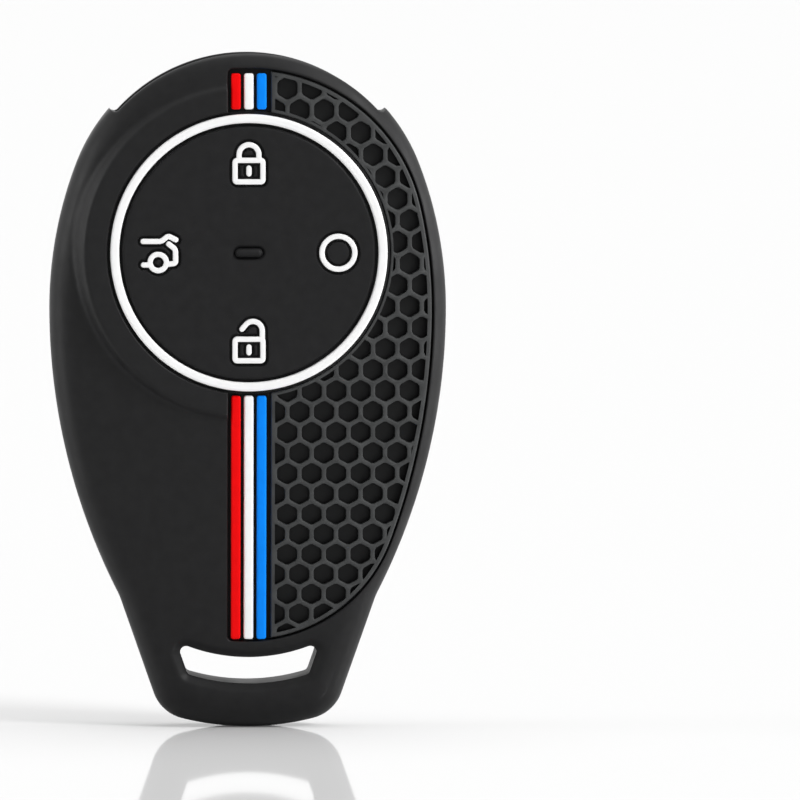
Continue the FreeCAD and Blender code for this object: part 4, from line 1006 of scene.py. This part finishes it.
def grip_plate(s, loop, thickness):
    """Make a flat grip with a rounded edge, its face at no depth."""
    region, places, triangles = rounded_fill(loop, s.grip_round, spacing=2.0)
    plate = Shell()
    plate.slab(places, triangles, quarter(region.depth(places), s.grip_round), thickness)
    return plate.mesh("grip_plate")


def comb_field(s, loop):
    """Make the block that the cells stay inside."""
    block = Shell()
    block.slab(*fill(loop, [], spacing=4.0), -FIELD_HEAD, s.comb_depth * 2)
    return block.mesh("comb_field")


def comb_plug(s, row):
    """Make the plug that a cell is the print of: six soft corners, a flared rim and a flat end."""
    share = 1 - s.comb_rib / s.comb_pitch
    corners = [(0, 2 / 3 * row), (-s.comb_pitch / 2, row / 3), (-s.comb_pitch / 2, -row / 3)]
    corners += [(-across, -up) for across, up in corners]
    corners = np.array(corners) * share
    ring = np.concatenate([
        (corner + PLUG_SOFT * (before - corner), corner + PLUG_SOFT * (after - corner))
        for before, corner, after in zip(np.roll(corners, 1, axis=0), corners, np.roll(corners, -1, axis=0))
    ])
    sections = (
        (-PLUG_HEAD, s.comb_flare),
        (0.0, s.comb_flare),
        (s.comb_flare * FLARE_MIDDLE[0], s.comb_flare * FLARE_MIDDLE[1]),
        (s.comb_flare * FLARE_END, 0.0),
        (s.comb_depth, -PLUG_TAPER),
    )
    plug = Shell()
    rings = [at_depths(inset(ring, -wider), depth) for depth, wider in sections]
    count = len(ring)
    faces = bands(count, len(rings))
    faces.append(tuple(range(count)))
    last = (len(rings) - 1) * count
    faces.append(tuple(last + count - 1 - here for here in range(count)))
    plug.add(np.concatenate(rings), faces)
    return plug.mesh("comb_plug")


def honeycomb_tree():
    """Make the nodes that press rows of cells into a grip."""
    tree = bpy.data.node_groups.new("honeycomb", "GeometryNodeTree")
    sockets = (
        ("Grip", "NodeSocketGeometry"),
        ("Plug", "NodeSocketObject"),
        ("Field", "NodeSocketObject"),
        ("Pitch", "NodeSocketFloat"),
        ("Row", "NodeSocketFloat"),
        ("First across", "NodeSocketFloat"),
        ("First up", "NodeSocketFloat"),
        ("Columns", "NodeSocketInt"),
        ("Rows", "NodeSocketInt"),
        ("Finish", "NodeSocketMaterial"),
    )
    for name, kind in sockets:
        tree.interface.new_socket(name, in_out="INPUT", socket_type=kind)
    tree.interface.new_socket("Grip", in_out="OUTPUT", socket_type="NodeSocketGeometry")
    nodes, links = tree.nodes, tree.links
    given = nodes.new("NodeGroupInput").outputs
    number = nodes.new("GeometryNodeInputIndex").outputs[0]
    column = maths(tree, "MODULO", number, given["Columns"])
    row = maths(tree, "FLOOR", maths(tree, "DIVIDE", number, given["Columns"]))
    stagger = maths(tree, "MULTIPLY", maths(tree, "MODULO", row, 2), 0.5)
    moved = maths(tree, "SUBTRACT", column, stagger)
    across = maths(tree, "MULTIPLY_ADD", moved, given["Pitch"], given["First across"])
    up = maths(tree, "MULTIPLY_ADD", row, given["Row"], given["First up"])
    place = nodes.new("ShaderNodeCombineXYZ")
    links.new(across, place.inputs["X"])
    links.new(up, place.inputs["Z"])

    points = nodes.new("GeometryNodeMeshLine")
    links.new(maths(tree, "MULTIPLY", given["Columns"], given["Rows"]), points.inputs["Count"])
    spread = nodes.new("GeometryNodeSetPosition")
    links.new(points.outputs["Mesh"], spread.inputs["Geometry"])
    links.new(place.outputs["Vector"], spread.inputs["Position"])

    def object_mesh(name):
        info = nodes.new("GeometryNodeObjectInfo")
        links.new(given[name], info.inputs["Object"])
        return info.outputs["Geometry"]

    copies = nodes.new("GeometryNodeInstanceOnPoints")
    links.new(spread.outputs["Geometry"], copies.inputs["Points"])
    links.new(object_mesh("Plug"), copies.inputs["Instance"])
    plugs = nodes.new("GeometryNodeRealizeInstances")
    links.new(copies.outputs["Instances"], plugs.inputs["Geometry"])

    def boolean(operation):
        node = nodes.new("GeometryNodeMeshBoolean")
        node.operation = operation
        node.solver = "MANIFOLD"
        return node

    kept = boolean("INTERSECT")
    links.new(object_mesh("Field"), kept.inputs["Mesh 2"])
    links.new(plugs.outputs["Geometry"], kept.inputs["Mesh 2"])
    pressed = boolean("DIFFERENCE")
    links.new(given["Grip"], pressed.inputs["Mesh 1"])
    links.new(kept.outputs["Mesh"], pressed.inputs["Mesh 2"])
    real = nodes.new("GeometryNodeRealizeInstances")
    links.new(pressed.outputs["Mesh"], real.inputs["Geometry"])
    dyed = nodes.new("GeometryNodeSetMaterial")
    links.new(real.outputs["Geometry"], dyed.inputs["Geometry"])
    links.new(given["Finish"], dyed.inputs["Material"])
    result = nodes.new("NodeGroupOutput")
    links.new(dyed.outputs["Geometry"], result.inputs["Grip"])
    return tree


def pressed_grip(context, s, name, plate, field, plug, row, tree):
    """Run the honeycomb nodes on a flat grip and give the plain mesh."""
    helpers = [bpy.data.objects.new(data.name, data) for data in (plate, field, plug)]
    for helper in helpers:
        context.scene.collection.objects.link(helper)
    flat, field_object, plug_object = helpers
    corners = np.array([vert.co for vert in field.vertices]) / MM
    low, high = corners.min(axis=0), corners.max(axis=0)
    modifier = flat.modifiers.new("honeycomb", "NODES")
    modifier.node_group = tree
    values = {
        "Plug": plug_object,
        "Field": field_object,
        "Pitch": s.comb_pitch * MM,
        "Row": row * MM,
        "First across": (low[0] + s.comb_pitch / 2) * MM,
        "First up": (low[2] - s.comb_drop) * MM,
        "Columns": math.ceil((high[0] - low[0]) / s.comb_pitch) + 2,
        "Rows": math.ceil((high[2] - low[2] + s.comb_drop) / row) + 1,
        "Finish": finish(context, "grip_silicone"),
    }
    for item in tree.interface.items_tree:
        if item.in_out == "INPUT" and item.name in values:
            modifier[item.identifier] = values[item.name]
    context.view_layer.update()
    ready = flat.evaluated_get(context.evaluated_depsgraph_get())
    data = bpy.data.meshes.new_from_object(ready)
    data.name = name
    flat.modifiers.clear()
    for helper in helpers:
        bpy.data.objects.remove(helper)
    return data


def lift(data, row, depths_at):
    """Move a flat grip onto a crown, let its rows grow, and keep how deep each point was."""
    points = np.zeros(len(data.vertices) * 3)
    data.vertices.foreach_get("co", points)
    points = points.reshape(-1, 3) / MM
    # These depths drive the painted shade in the cells
    depths = data.attributes.new(CELL_DEPTH, "FLOAT", "POINT")
    depths.data.foreach_set("value", np.ascontiguousarray(points[:, 1]))
    points[:, 2] = grown(row, points[:, 2])
    points[:, 1] = depths_at(points[:, (0, 2)], points[:, 1])
    data.vertices.foreach_set("co", (points * MM).ravel())
    data.update()


class COVER_OT_grips(bpy.types.Operator):
    """Press the honeycomb into the front and back grips and lay them on the crowns"""

    bl_idname = "cover.grips"
    bl_label = "Honeycomb grips"

    def execute(self, context):
        form = form_of(context)
        s = form.s
        tree = honeycomb_tree()
        border = s.grip_border
        for side, sign in SIGNS.items():
            drum = form.seat_radius + s.grip_drum_gap if side == "front" else None
            rim = drum + border * DRUM_BORDER if drum else None
            row = getattr(s, side + "_comb_row")
            edge = grip_loop(s, s.grip_gap, s.grip_side, drum)
            inside = grip_loop(s, s.grip_gap + border, s.grip_side + border, rim)
            for loop in (edge, inside):
                loop[:, 1] = evened(row, loop[:, 1])
            plate = grip_plate(s, edge, s.recess_depth - s.grip_sink)
            field = comb_field(s, inside)
            name = side + "_honeycomb_grip"
            data = pressed_grip(context, s, name, plate, field, comb_plug(s, row), row, tree)

            def on_crown(places, depths):
                return sign * (form.crown(side, places, s.grip_sink) - depths)

            lift(data, row, on_crown)
            if side == "back":
                data.flip_normals()
            fasten(context, data, ROOT, "grip_silicone", side + "_honeycomb_panel")
        return {"FINISHED"}


def bar_loop(middle, width, low, high, corner):
    """Draw an upright bar with round corners."""
    left, right = middle - width / 2 + corner, middle + width / 2 - corner
    turns = ((right, low, -0.5), (right, high, 0.0), (left, high, 0.5), (left, low, 1.0))
    points = []
    for across, up, turn in turns:
        centre = (across, up + corner if up == low else up - corner)
        points.append(arc(centre, corner, turn * math.pi, (turn + 0.5) * math.pi, FINE_STEP))
    sides = [line(points[i][-1], points[(i + 1) % 4][0]) for i in range(4)]
    return closed(joined(*[stretch for pair in zip(points, sides) for stretch in pair]))


class COVER_OT_stripes(bpy.types.Operator):
    """Lay the red, white and blue stripes along the crowns"""

    bl_idname = "cover.stripes"
    bl_label = "Stripes"

    def execute(self, context):
        form = form_of(context)
        s = form.s
        for run in STRIPE_RUNS:
            side = run.split("_")[0]
            sign = SIGNS[side]
            for shade, place in STRIPES.items():
                name = "%s_%s" % (run, shade)
                low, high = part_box(name)
                top = min(high.z / MM, s.body_height - s.rim_top - s.stripe_head)
                loop = bar_loop(place * s.stripe_pitch, s.stripe_width, low.z / MM, top, s.stripe_corner)
                region, places, triangles = rounded_fill(loop, s.stripe_round, spacing=5.0)
                edge = quarter(region.depth(places), s.stripe_round)
                upper = form.crown(side, places, -s.stripe_proud) - edge
                lower = form.crown(side, places, s.recess_depth)
                bar = Shell()
                bar.slab(places, triangles, sign * upper, sign * lower)
                fasten(context, bar.mesh(name + "_bar"), ROOT, shade + "_silicone", name)
        return {"FINISHED"}


class COVER_OT_ring(bpy.types.Operator):
    """Turn the white ring round the button field"""

    bl_idname = "cover.ring"
    bl_label = "White ring"

    SEGMENTS = 240
    EDGE_STEP = 0.05

    def execute(self, context):
        s = form_of(context).s
        outer, inner = s.ring_radius, s.ring_radius - s.ring_band
        base, top, soft = s.face - s.seat_depth, s.face + s.ring_proud, s.ring_round
        section = joined(
            line((outer, base), (outer, top - soft)),
            arc((outer - soft, top - soft), soft, 0, math.pi / 2, self.EDGE_STEP),
            arc((inner + soft, top - soft), soft, math.pi / 2, math.pi, self.EDGE_STEP),
            line((inner, top - soft), (inner, base)),
        )
        turns = np.linspace(0, 2 * math.pi, self.SEGMENTS, endpoint=False)
        points = [
            (away * math.cos(turn), -height, s.field_height + away * math.sin(turn))
            for turn in turns
            for away, height in section
        ]
        count = len(section)
        faces = []
        for number in range(self.SEGMENTS):
            here, there = number * count, (number + 1) % self.SEGMENTS * count
            for low in range(count):
                high = (low + 1) % count
                faces.append((here + low, there + low, there + high, here + high))
        ring = Shell()
        ring.add(points, faces)
        fasten(context, ring.mesh("white_ring"), ROOT, "white_silicone", "ring_inlay")
        return {"FINISHED"}


class COVER_OT_pad(bpy.types.Operator):
    """Build the button pad and the indicator bump on it"""

    bl_idname = "cover.pad"
    bl_label = "Button pad"

    HOLE_MARGIN = 0.004
    PILL_EDGE = 0.9

    def execute(self, context):
        form = form_of(context)
        s = form.s
        hole = s.button_radius + s.web_width
        centres = [form.middle + s.button_reach * np.array(way) for way in BUTTONS.values()]
        spigot = form.window_radius - s.recess_draft
        loops = [circle(form.middle, form.pad_radius)]
        loops += [circle(centre, hole, BUTTON_STEP) for centre in centres]
        steps = [form.pad_radius - s.pad_round * share for share in RIM_STEPS[1:]]
        steps += [spigot, spigot - s.recess_draft]
        loops += [circle(form.middle, radius) for radius in steps]

        def is_pad(places):
            kept = form.from_middle(places) < form.pad_radius
            for centre in centres:
                kept &= np.linalg.norm(places - centre, axis=1) > hole - self.HOLE_MARGIN
            return kept

        half = s.pill_width / 2
        reach = s.pill_length / 2 - half
        right, left = form.middle + (reach, 0), form.middle - (reach, 0)
        outline = closed(joined(
            arc(right, half, -math.pi / 2, math.pi / 2, FINE_STEP),
            line(right + (0, half), left + (0, half)),
            arc(left, half, math.pi / 2, 1.5 * math.pi, FINE_STEP),
            line(left - (0, half), right - (0, half)),
        ))
        region = Region(outline)
        coves = [inset(outline, -s.cove_width * share) for share in RIM_STEPS]
        coves = [np.concatenate((cove, cove[:1])) for cove in coves]
        places, triangles = triangulate(loops, coves, is_pad, spacing=1.5)
        away = form.from_middle(places)
        clear = np.clip(-region.depth(places) / s.cove_width, 0, 1)
        top = s.face - quarter(form.pad_radius - away, s.pad_round) - s.cove_depth * (1 - clear) ** 2
        bottom = np.where(away < spigot - s.recess_draft / 2, s.face - s.pad_thickness, s.face - s.seat_depth)
        pad = Shell()
        pad.slab(places, triangles, -top, -bottom)
        fasten(context, pad.mesh("button_field"), ROOT, "pad_silicone", "button_pad")

        region, places, triangles = rounded_fill(outline, half * self.PILL_EDGE, spacing=1.0)
        dome = s.face + s.pill_proud - s.pill_proud / half * quarter(region.depth(places), half)
        bump = Shell()
        bump.slab(places, triangles, -dome, s.cove_depth - s.face)
        fasten(context, bump.mesh("indicator_bump"), ROOT, "pad_silicone", "indicator_pill")
        return {"FINISHED"}


# Icons, drawn as lines in millimetres from the middle of a button

STROKE_STEP, SHACKLE_STEP, ROUND_STEP = 0.25, 0.2, 0.15
STROKE_ENDS = 1e-3
STROKE_BEND = 0.3
CASE_HALF, CASE_TOP, CASE_FOOT = 1.73, 0.37, -2.3
KEYHOLE_TOP, KEYHOLE_FOOT = -0.6, -1.3
SHACKLE_RADIUS, SHACKLE_RISE = 1.23, 1.08
OPEN_SHACKLE_SIDE, OPEN_SHACKLE_RADIUS, OPEN_SHACKLE_RISE = 1.65, 1.16, 1.43
OPEN_SHACKLE_TURN, OPEN_SHACKLE_TAIL = math.radians(140), 0.72
CIRCLE_RADIUS = 2.04
WHEEL_CENTRE, WHEEL_RADIUS = (-0.16, -1.19), 1.01
CAR_LID = ((-2.04, 1.42), (0.21, 1.42), (1.09, 2.12), (2.02, 1.62))
CAR_TAIL = ((1.14, 1.1), (1.98, 0.43), (2.0, -1.3), (0.8, -1.45))
CAR_SILL = ((-1.99, -1.5), (-1.1, -1.5))


def bent(points):
    """Draw straight runs with rounded bends."""
    stretches = [np.array(points[:1], float)]
    for before, corner, after in zip(points, points[1:], points[2:]):
        start, end = [
            np.array(corner) + (np.array(other) - corner) * min(STROKE_BEND / math.dist(corner, other), 0.5)
            for other in (before, after)
        ]
        stretches.append(curve(start, corner, end))
    stretches.append(np.array(points[-1:], float))
    corners = joined(*stretches)
    return joined(*[line(here, there, STROKE_STEP) for here, there in zip(corners, corners[1:])])


def ring_of(points):
    """Draw a closed line of straight runs with rounded bends."""
    start = tuple((np.array(points[0]) + points[1]) / 2)
    return bent([start] + points[1:] + [points[0], start])


def padlock_case():
    left = [(-CASE_HALF, CASE_TOP), (-CASE_HALF, CASE_FOOT)]
    right = [(CASE_HALF, CASE_FOOT), (CASE_HALF, CASE_TOP)]
    return [ring_of(left + right), line((0, KEYHOLE_TOP), (0, KEYHOLE_FOOT), STROKE_STEP)]


def lock_strokes():
    """Draw a closed padlock."""
    shackle = joined(
        line((SHACKLE_RADIUS, CASE_TOP), (SHACKLE_RADIUS, SHACKLE_RISE), STROKE_STEP),
        arc((0, SHACKLE_RISE), SHACKLE_RADIUS, 0, math.pi, SHACKLE_STEP),
        line((-SHACKLE_RADIUS, SHACKLE_RISE), (-SHACKLE_RADIUS, CASE_TOP), STROKE_STEP),
    )
    return padlock_case() + [shackle]


def unlock_strokes():
    """Draw a padlock whose shackle stands open."""
    centre = (OPEN_SHACKLE_SIDE - OPEN_SHACKLE_RADIUS, OPEN_SHACKLE_RISE)
    end = spot(centre, OPEN_SHACKLE_RADIUS, OPEN_SHACKLE_TURN)
    tip = spot(end, OPEN_SHACKLE_TAIL, OPEN_SHACKLE_TURN + math.pi / 2)
    shackle = joined(
        line((OPEN_SHACKLE_SIDE, CASE_TOP), (OPEN_SHACKLE_SIDE, OPEN_SHACKLE_RISE), STROKE_STEP),
        arc(centre, OPEN_SHACKLE_RADIUS, 0, OPEN_SHACKLE_TURN, SHACKLE_STEP),
        line(end, tip, STROKE_STEP),
    )
    return padlock_case() + [shackle]


def trunk_strokes():
    """Draw the tail of a car with its lid open."""
    wheel = arc(WHEEL_CENTRE, WHEEL_RADIUS, 0, 2 * math.pi, ROUND_STEP)
    return [bent(CAR_LID), bent(CAR_TAIL), bent(CAR_SILL), wheel]


def circle_strokes():
    return [arc((0, 0), CIRCLE_RADIUS, 0, 2 * math.pi, ROUND_STEP)]


ICONS = {"lock": lock_strokes, "unlock": unlock_strokes, "trunk": trunk_strokes, "circle": circle_strokes}


def stroke_loops(strokes, half):
    """Draw the edges of lines at half their width."""
    loops = []
    for points in strokes:
        if math.dist(points[0], points[-1]) < STROKE_ENDS:
            ring = points[:-1]
            loops += [inset(ring, half), inset(ring, -half)]
        else:
            left, right = inset(points, half, loop=False), inset(points, -half, loop=False)
            first, last = bearing(points[1], points[0]), bearing(points[-2], points[-1])
            end = arc(points[-1], half, last - math.pi / 2, last + math.pi / 2, FINE_STEP)
            start = arc(points[0], half, first - math.pi / 2, first + math.pi / 2, FINE_STEP)
            loops.append(closed(joined(right, end, left[::-1], start)))
    return loops


class COVER_OT_buttons(bpy.types.Operator):
    """Build the four buttons, each with an icon let into its face and a thin skin round it in eight sectors
    """

    bl_idname = "cover.buttons"
    bl_label = "Buttons"

    SECTORS = 8
    GROOVE_RIM, GROOVE_STEPS = 0.12, (1.0, 0.5, 0.2, 0.0)
    WEB_STEP, WEB_MARGIN, WEB_SHARES = 0.1, 0.02, (0.25, 0.5, 0.75)

    def execute(self, context):
        form = form_of(context)
        s = form.s
        for icon, way in BUTTONS.items():
            centre = form.middle + s.button_reach * np.array(way)
            strokes = [points + centre for points in ICONS[icon]()]
            self.button(context, s, icon, centre, strokes)
            self.icon(context, s, icon, strokes)
            self.web(context, s, icon, centre)
        return {"FINISHED"}

    def button(self, context, s, icon, centre, strokes):
        groove = s.icon_line / 2 + s.icon_groove
        rim, draft = self.GROOVE_RIM, s.recess_draft
        loops = [circle(centre, s.button_radius, BUTTON_STEP)]
        for level in [-rim * share for share in self.GROOVE_STEPS] + [draft]:
            loops += stroke_loops(strokes, groove - level)

        def is_button(places):
            return np.linalg.norm(places - centre, axis=1) < s.button_radius

        places, triangles = triangulate(loops, [], is_button, spacing=0.5)
        depth = groove - stroke_gap(strokes, places)
        top = sunk(s.face, s.face - s.icon_depth, depth, rim, draft)
        back = s.pad_thickness - s.face
        plug = Shell()
        plug.slab(places, triangles, -top, back)
        nub = circle(centre, s.nub_radius, BUTTON_STEP)
        places, triangles = triangulate([nub], [], is_button, spacing=1.0)
        plug.slab(places, triangles, back, back + s.nub_length)
        fasten(context, plug.mesh(icon + "_plug"), icon + "_key", "pad_silicone", icon + "_button")

    def icon(self, context, s, icon, strokes):
        half = s.icon_line / 2
        loops = []
        for share in RIM_STEPS:
            loops += stroke_loops(strokes, half - s.icon_round * share)

        def is_icon(places):
            return stroke_gap(strokes, places) < half

        places, triangles = triangulate(loops, [], is_icon, spacing=0.6)
        depth = half - stroke_gap(strokes, places)
        top = s.face + s.icon_proud - quarter(depth, s.icon_round)
        lines = Shell()
        lines.slab(places, triangles, -top, s.icon_depth - s.face)
        fasten(context, lines.mesh(icon + "_sign"), icon + "_key", "white_silicone", icon + "_icon")

    def web(self, context, s, icon, centre):
        near, far = s.button_radius, s.button_radius + s.web_width
        half = math.pi / self.SECTORS
        for number in range(self.SECTORS):
            middle = 2 * half * number
            first, last = middle - half, middle + half
            loop = closed(joined(
                arc(centre, far, first, last, BUTTON_STEP),
                line(spot(centre, far, last), spot(centre, near, last), self.WEB_STEP),
                arc(centre, near, last, first, BUTTON_STEP),
                line(spot(centre, near, first), spot(centre, far, first), self.WEB_STEP),
            ))
            ends = first + self.WEB_MARGIN, last - self.WEB_MARGIN
            radii = [near + s.web_width * share for share in self.WEB_SHARES]
            chains = [arc(centre, radius, *ends, BUTTON_STEP) for radius in radii]
            skin = Shell()
            skin.slab(*fill(loop, chains, spacing=1.0), -s.face, s.web_thickness - s.face)
            piece = show(skin.mesh("%s_web_%d" % (icon, number + 1)), finish(context, "pad_silicone"))
            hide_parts(icon + "_web")
            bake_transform(piece)


# Stage

CAMERA_DISTANCE = 1.6
CAMERA_RISE = math.radians(2.4)
CAMERA_TURN = math.radians(1.4)
FRAME_SPAN = 0.0998
AXIS_PIXEL, BASE_PIXEL, IMAGE = 247.3, 726, 800
LOOK_HEIGHT = 0.0425
FLOOR_CORNERS = ((-1, -1), (1, -1), (1, 1), (-1, 1))
FLOOR_REACH, FLOOR_WHITE = 12.0, 1.1
MIRROR, MIRROR_ROUGHNESS = 0.5, 0.04
AMBIENT = 0.15
SUNS = {
    "key_sun": (1.95, math.radians(20), Vector((0.68, -0.54, 0.6)).normalized()),
    "top_sun": (1.7, math.radians(60), Vector((0.1, 0.18, 1.0)).normalized()),
    "right_sun": (1.6, math.radians(30), Vector((1.0, 0.05, 0.22)).normalized()),
    "left_sun": (1.0, math.radians(30), Vector((-1.0, 0.0, 0.22)).normalized()),
}
FLOOR_LIT = AMBIENT + sum(power * source.z for power, spread, source in SUNS.values()) / math.pi


def shown(tree):
    """Give 1 for what the camera sees, straight or in a gloss, and 0 for plain light."""
    path = tree.nodes.new("ShaderNodeLightPath").outputs
    straight = maths(tree, "MAXIMUM", path["Is Camera Ray"], path["Is Glossy Ray"])
    return maths(tree, "MAXIMUM", straight, path["Is Transmission Ray"])


def floor_finish(shade):
    """Make a white studio floor that keeps shadows and a faint mirror image."""
    material = bpy.data.materials.new("studio_floor")
    material.use_nodes = True
    tree = material.node_tree
    nodes, links = tree.nodes, tree.links
    nodes.clear()
    matt = nodes.new("ShaderNodeBsdfDiffuse")
    preset(matt, Color=(*shade, 1))
    mirror = nodes.new("ShaderNodeBsdfGlossy")
    preset(mirror, Roughness=MIRROR_ROUGHNESS)
    mix = nodes.new("ShaderNodeMixShader")
    lean = nodes.new("ShaderNodeLayerWeight").outputs["Facing"]
    links.new(maths(tree, "MULTIPLY", lean, MIRROR), mix.inputs["Fac"])
    links.new(matt.outputs["BSDF"], mix.inputs[1])
    links.new(mirror.outputs["BSDF"], mix.inputs[2])
    glow = nodes.new("ShaderNodeEmission")
    missing = max(FLOOR_WHITE - shade[0] * FLOOR_LIT, 0)
    links.new(maths(tree, "MULTIPLY", shown(tree), missing), glow.inputs["Strength"])
    both = nodes.new("ShaderNodeAddShader")
    links.new(mix.outputs["Shader"], both.inputs[0])
    links.new(glow.outputs["Emission"], both.inputs[1])
    result = nodes.new("ShaderNodeOutputMaterial")
    links.new(both.outputs["Shader"], result.inputs["Surface"])
    return material


def studio_world(scene):
    """Light evenly from all round; the background itself shows white."""
    world = bpy.data.worlds.new("studio")
    scene.world = world
    world.use_nodes = True
    tree = world.node_tree
    back = tree.nodes["Background"]
    preset(back, Color=(1, 1, 1, 1))
    level = tree.nodes.new("ShaderNodeMapRange")
    preset(level, To_Min=AMBIENT, To_Max=1.0)
    tree.links.new(shown(tree), level.inputs["Value"])
    tree.links.new(level.outputs["Result"], back.inputs["Strength"])


def sun(name, power, spread, source):
    """Hang a broad soft sun."""
    data = bpy.data.lights.new(name, "SUN")
    data.energy = power
    data.angle = spread
    item = bpy.data.objects.new(name, data)
    item.rotation_euler = source.to_track_quat("Z", "Y").to_euler()
    bpy.context.scene.collection.objects.link(item)


class COVER_OT_stage(bpy.types.Operator):
    """Set up the floor, the lamps and the camera"""

    bl_idname = "cover.stage"
    bl_label = "Stage"

    def execute(self, context):
        scene = context.scene
        scene.view_settings.view_transform = "Standard"
        data = bpy.data.meshes.new("floor")
        corners = [(across * FLOOR_REACH, along * FLOOR_REACH, 0) for across, along in FLOOR_CORNERS]
        data.from_pydata(corners, [], [(0, 1, 2, 3)])
        floor = bpy.data.objects.new("floor", data)
        data.materials.append(floor_finish(scene.cover_colours.floor))
        scene.collection.objects.link(floor)
        studio_world(scene)
        for name, (power, spread, source) in SUNS.items():
            sun(name, power, spread, source)

        camera = bpy.data.cameras.new("camera")
        camera.sensor_fit = "HORIZONTAL"
        camera.lens = CAMERA_DISTANCE * camera.sensor_width / FRAME_SPAN
        camera.shift_x = (IMAGE / 2 - AXIS_PIXEL) / IMAGE
        pixels_up = LOOK_HEIGHT / FRAME_SPAN * IMAGE
        camera.shift_y = (BASE_PIXEL - pixels_up - IMAGE / 2) / IMAGE
        camera.clip_start = 0.01
        camera.clip_end = 50.0
        item = bpy.data.objects.new("camera", camera)
        away = CAMERA_DISTANCE * math.cos(CAMERA_RISE)
        item.location = (
            -away * math.sin(CAMERA_TURN),
            -away * math.cos(CAMERA_TURN),
            LOOK_HEIGHT + CAMERA_DISTANCE * math.sin(CAMERA_RISE),
        )
        heading = Vector((0, 0, LOOK_HEIGHT)) - item.location
        item.rotation_euler = heading.to_track_quat("-Z", "Y").to_euler()
        scene.collection.objects.link(item)
        scene.camera = item
        return {"FINISHED"}


class COVER_PT_panel(bpy.types.Panel):
    """Lists the steps that build the cover"""

    bl_label = "Key fob cover"
    bl_idname = "COVER_PT_panel"
    bl_space_type = "VIEW_3D"
    bl_region_type = "UI"
    bl_category = "Cover"

    def draw(self, context):
        for operator in OPERATORS:
            self.layout.operator(operator.bl_idname)
        for group in (context.scene.sleeve_sizes, context.scene.inset_sizes, context.scene.cover_colours):
            box = self.layout.box()
            for name in group.__annotations__:
                box.prop(group, name)


OPERATORS = (
    COVER_OT_sleeve,
    COVER_OT_grips,
    COVER_OT_stripes,
    COVER_OT_ring,
    COVER_OT_pad,
    COVER_OT_buttons,
    COVER_OT_stage,
)
GROUPS = {"sleeve_sizes": SleeveSizes, "inset_sizes": InsetSizes, "cover_colours": CoverColours}


def register():
    for group in GROUPS.values():
        bpy.utils.register_class(group)
    for operator in OPERATORS:
        bpy.utils.register_class(operator)
    bpy.utils.register_class(COVER_PT_panel)
    for name, group in GROUPS.items():
        setattr(bpy.types.Scene, name, bpy.props.PointerProperty(type=group))


def unregister():
    for name in GROUPS:
        delattr(bpy.types.Scene, name)
    bpy.utils.unregister_class(COVER_PT_panel)
    for operator in reversed(OPERATORS):
        bpy.utils.unregister_class(operator)
    for group in reversed(GROUPS.values()):
        bpy.utils.unregister_class(group)


def main():
    register()
    bpy.ops.cover.sleeve()
    bpy.ops.cover.grips()
    bpy.ops.cover.stripes()
    bpy.ops.cover.ring()
    bpy.ops.cover.pad()
    bpy.ops.cover.buttons()
    bpy.ops.cover.stage()


if __name__ == "__main__":
    main()
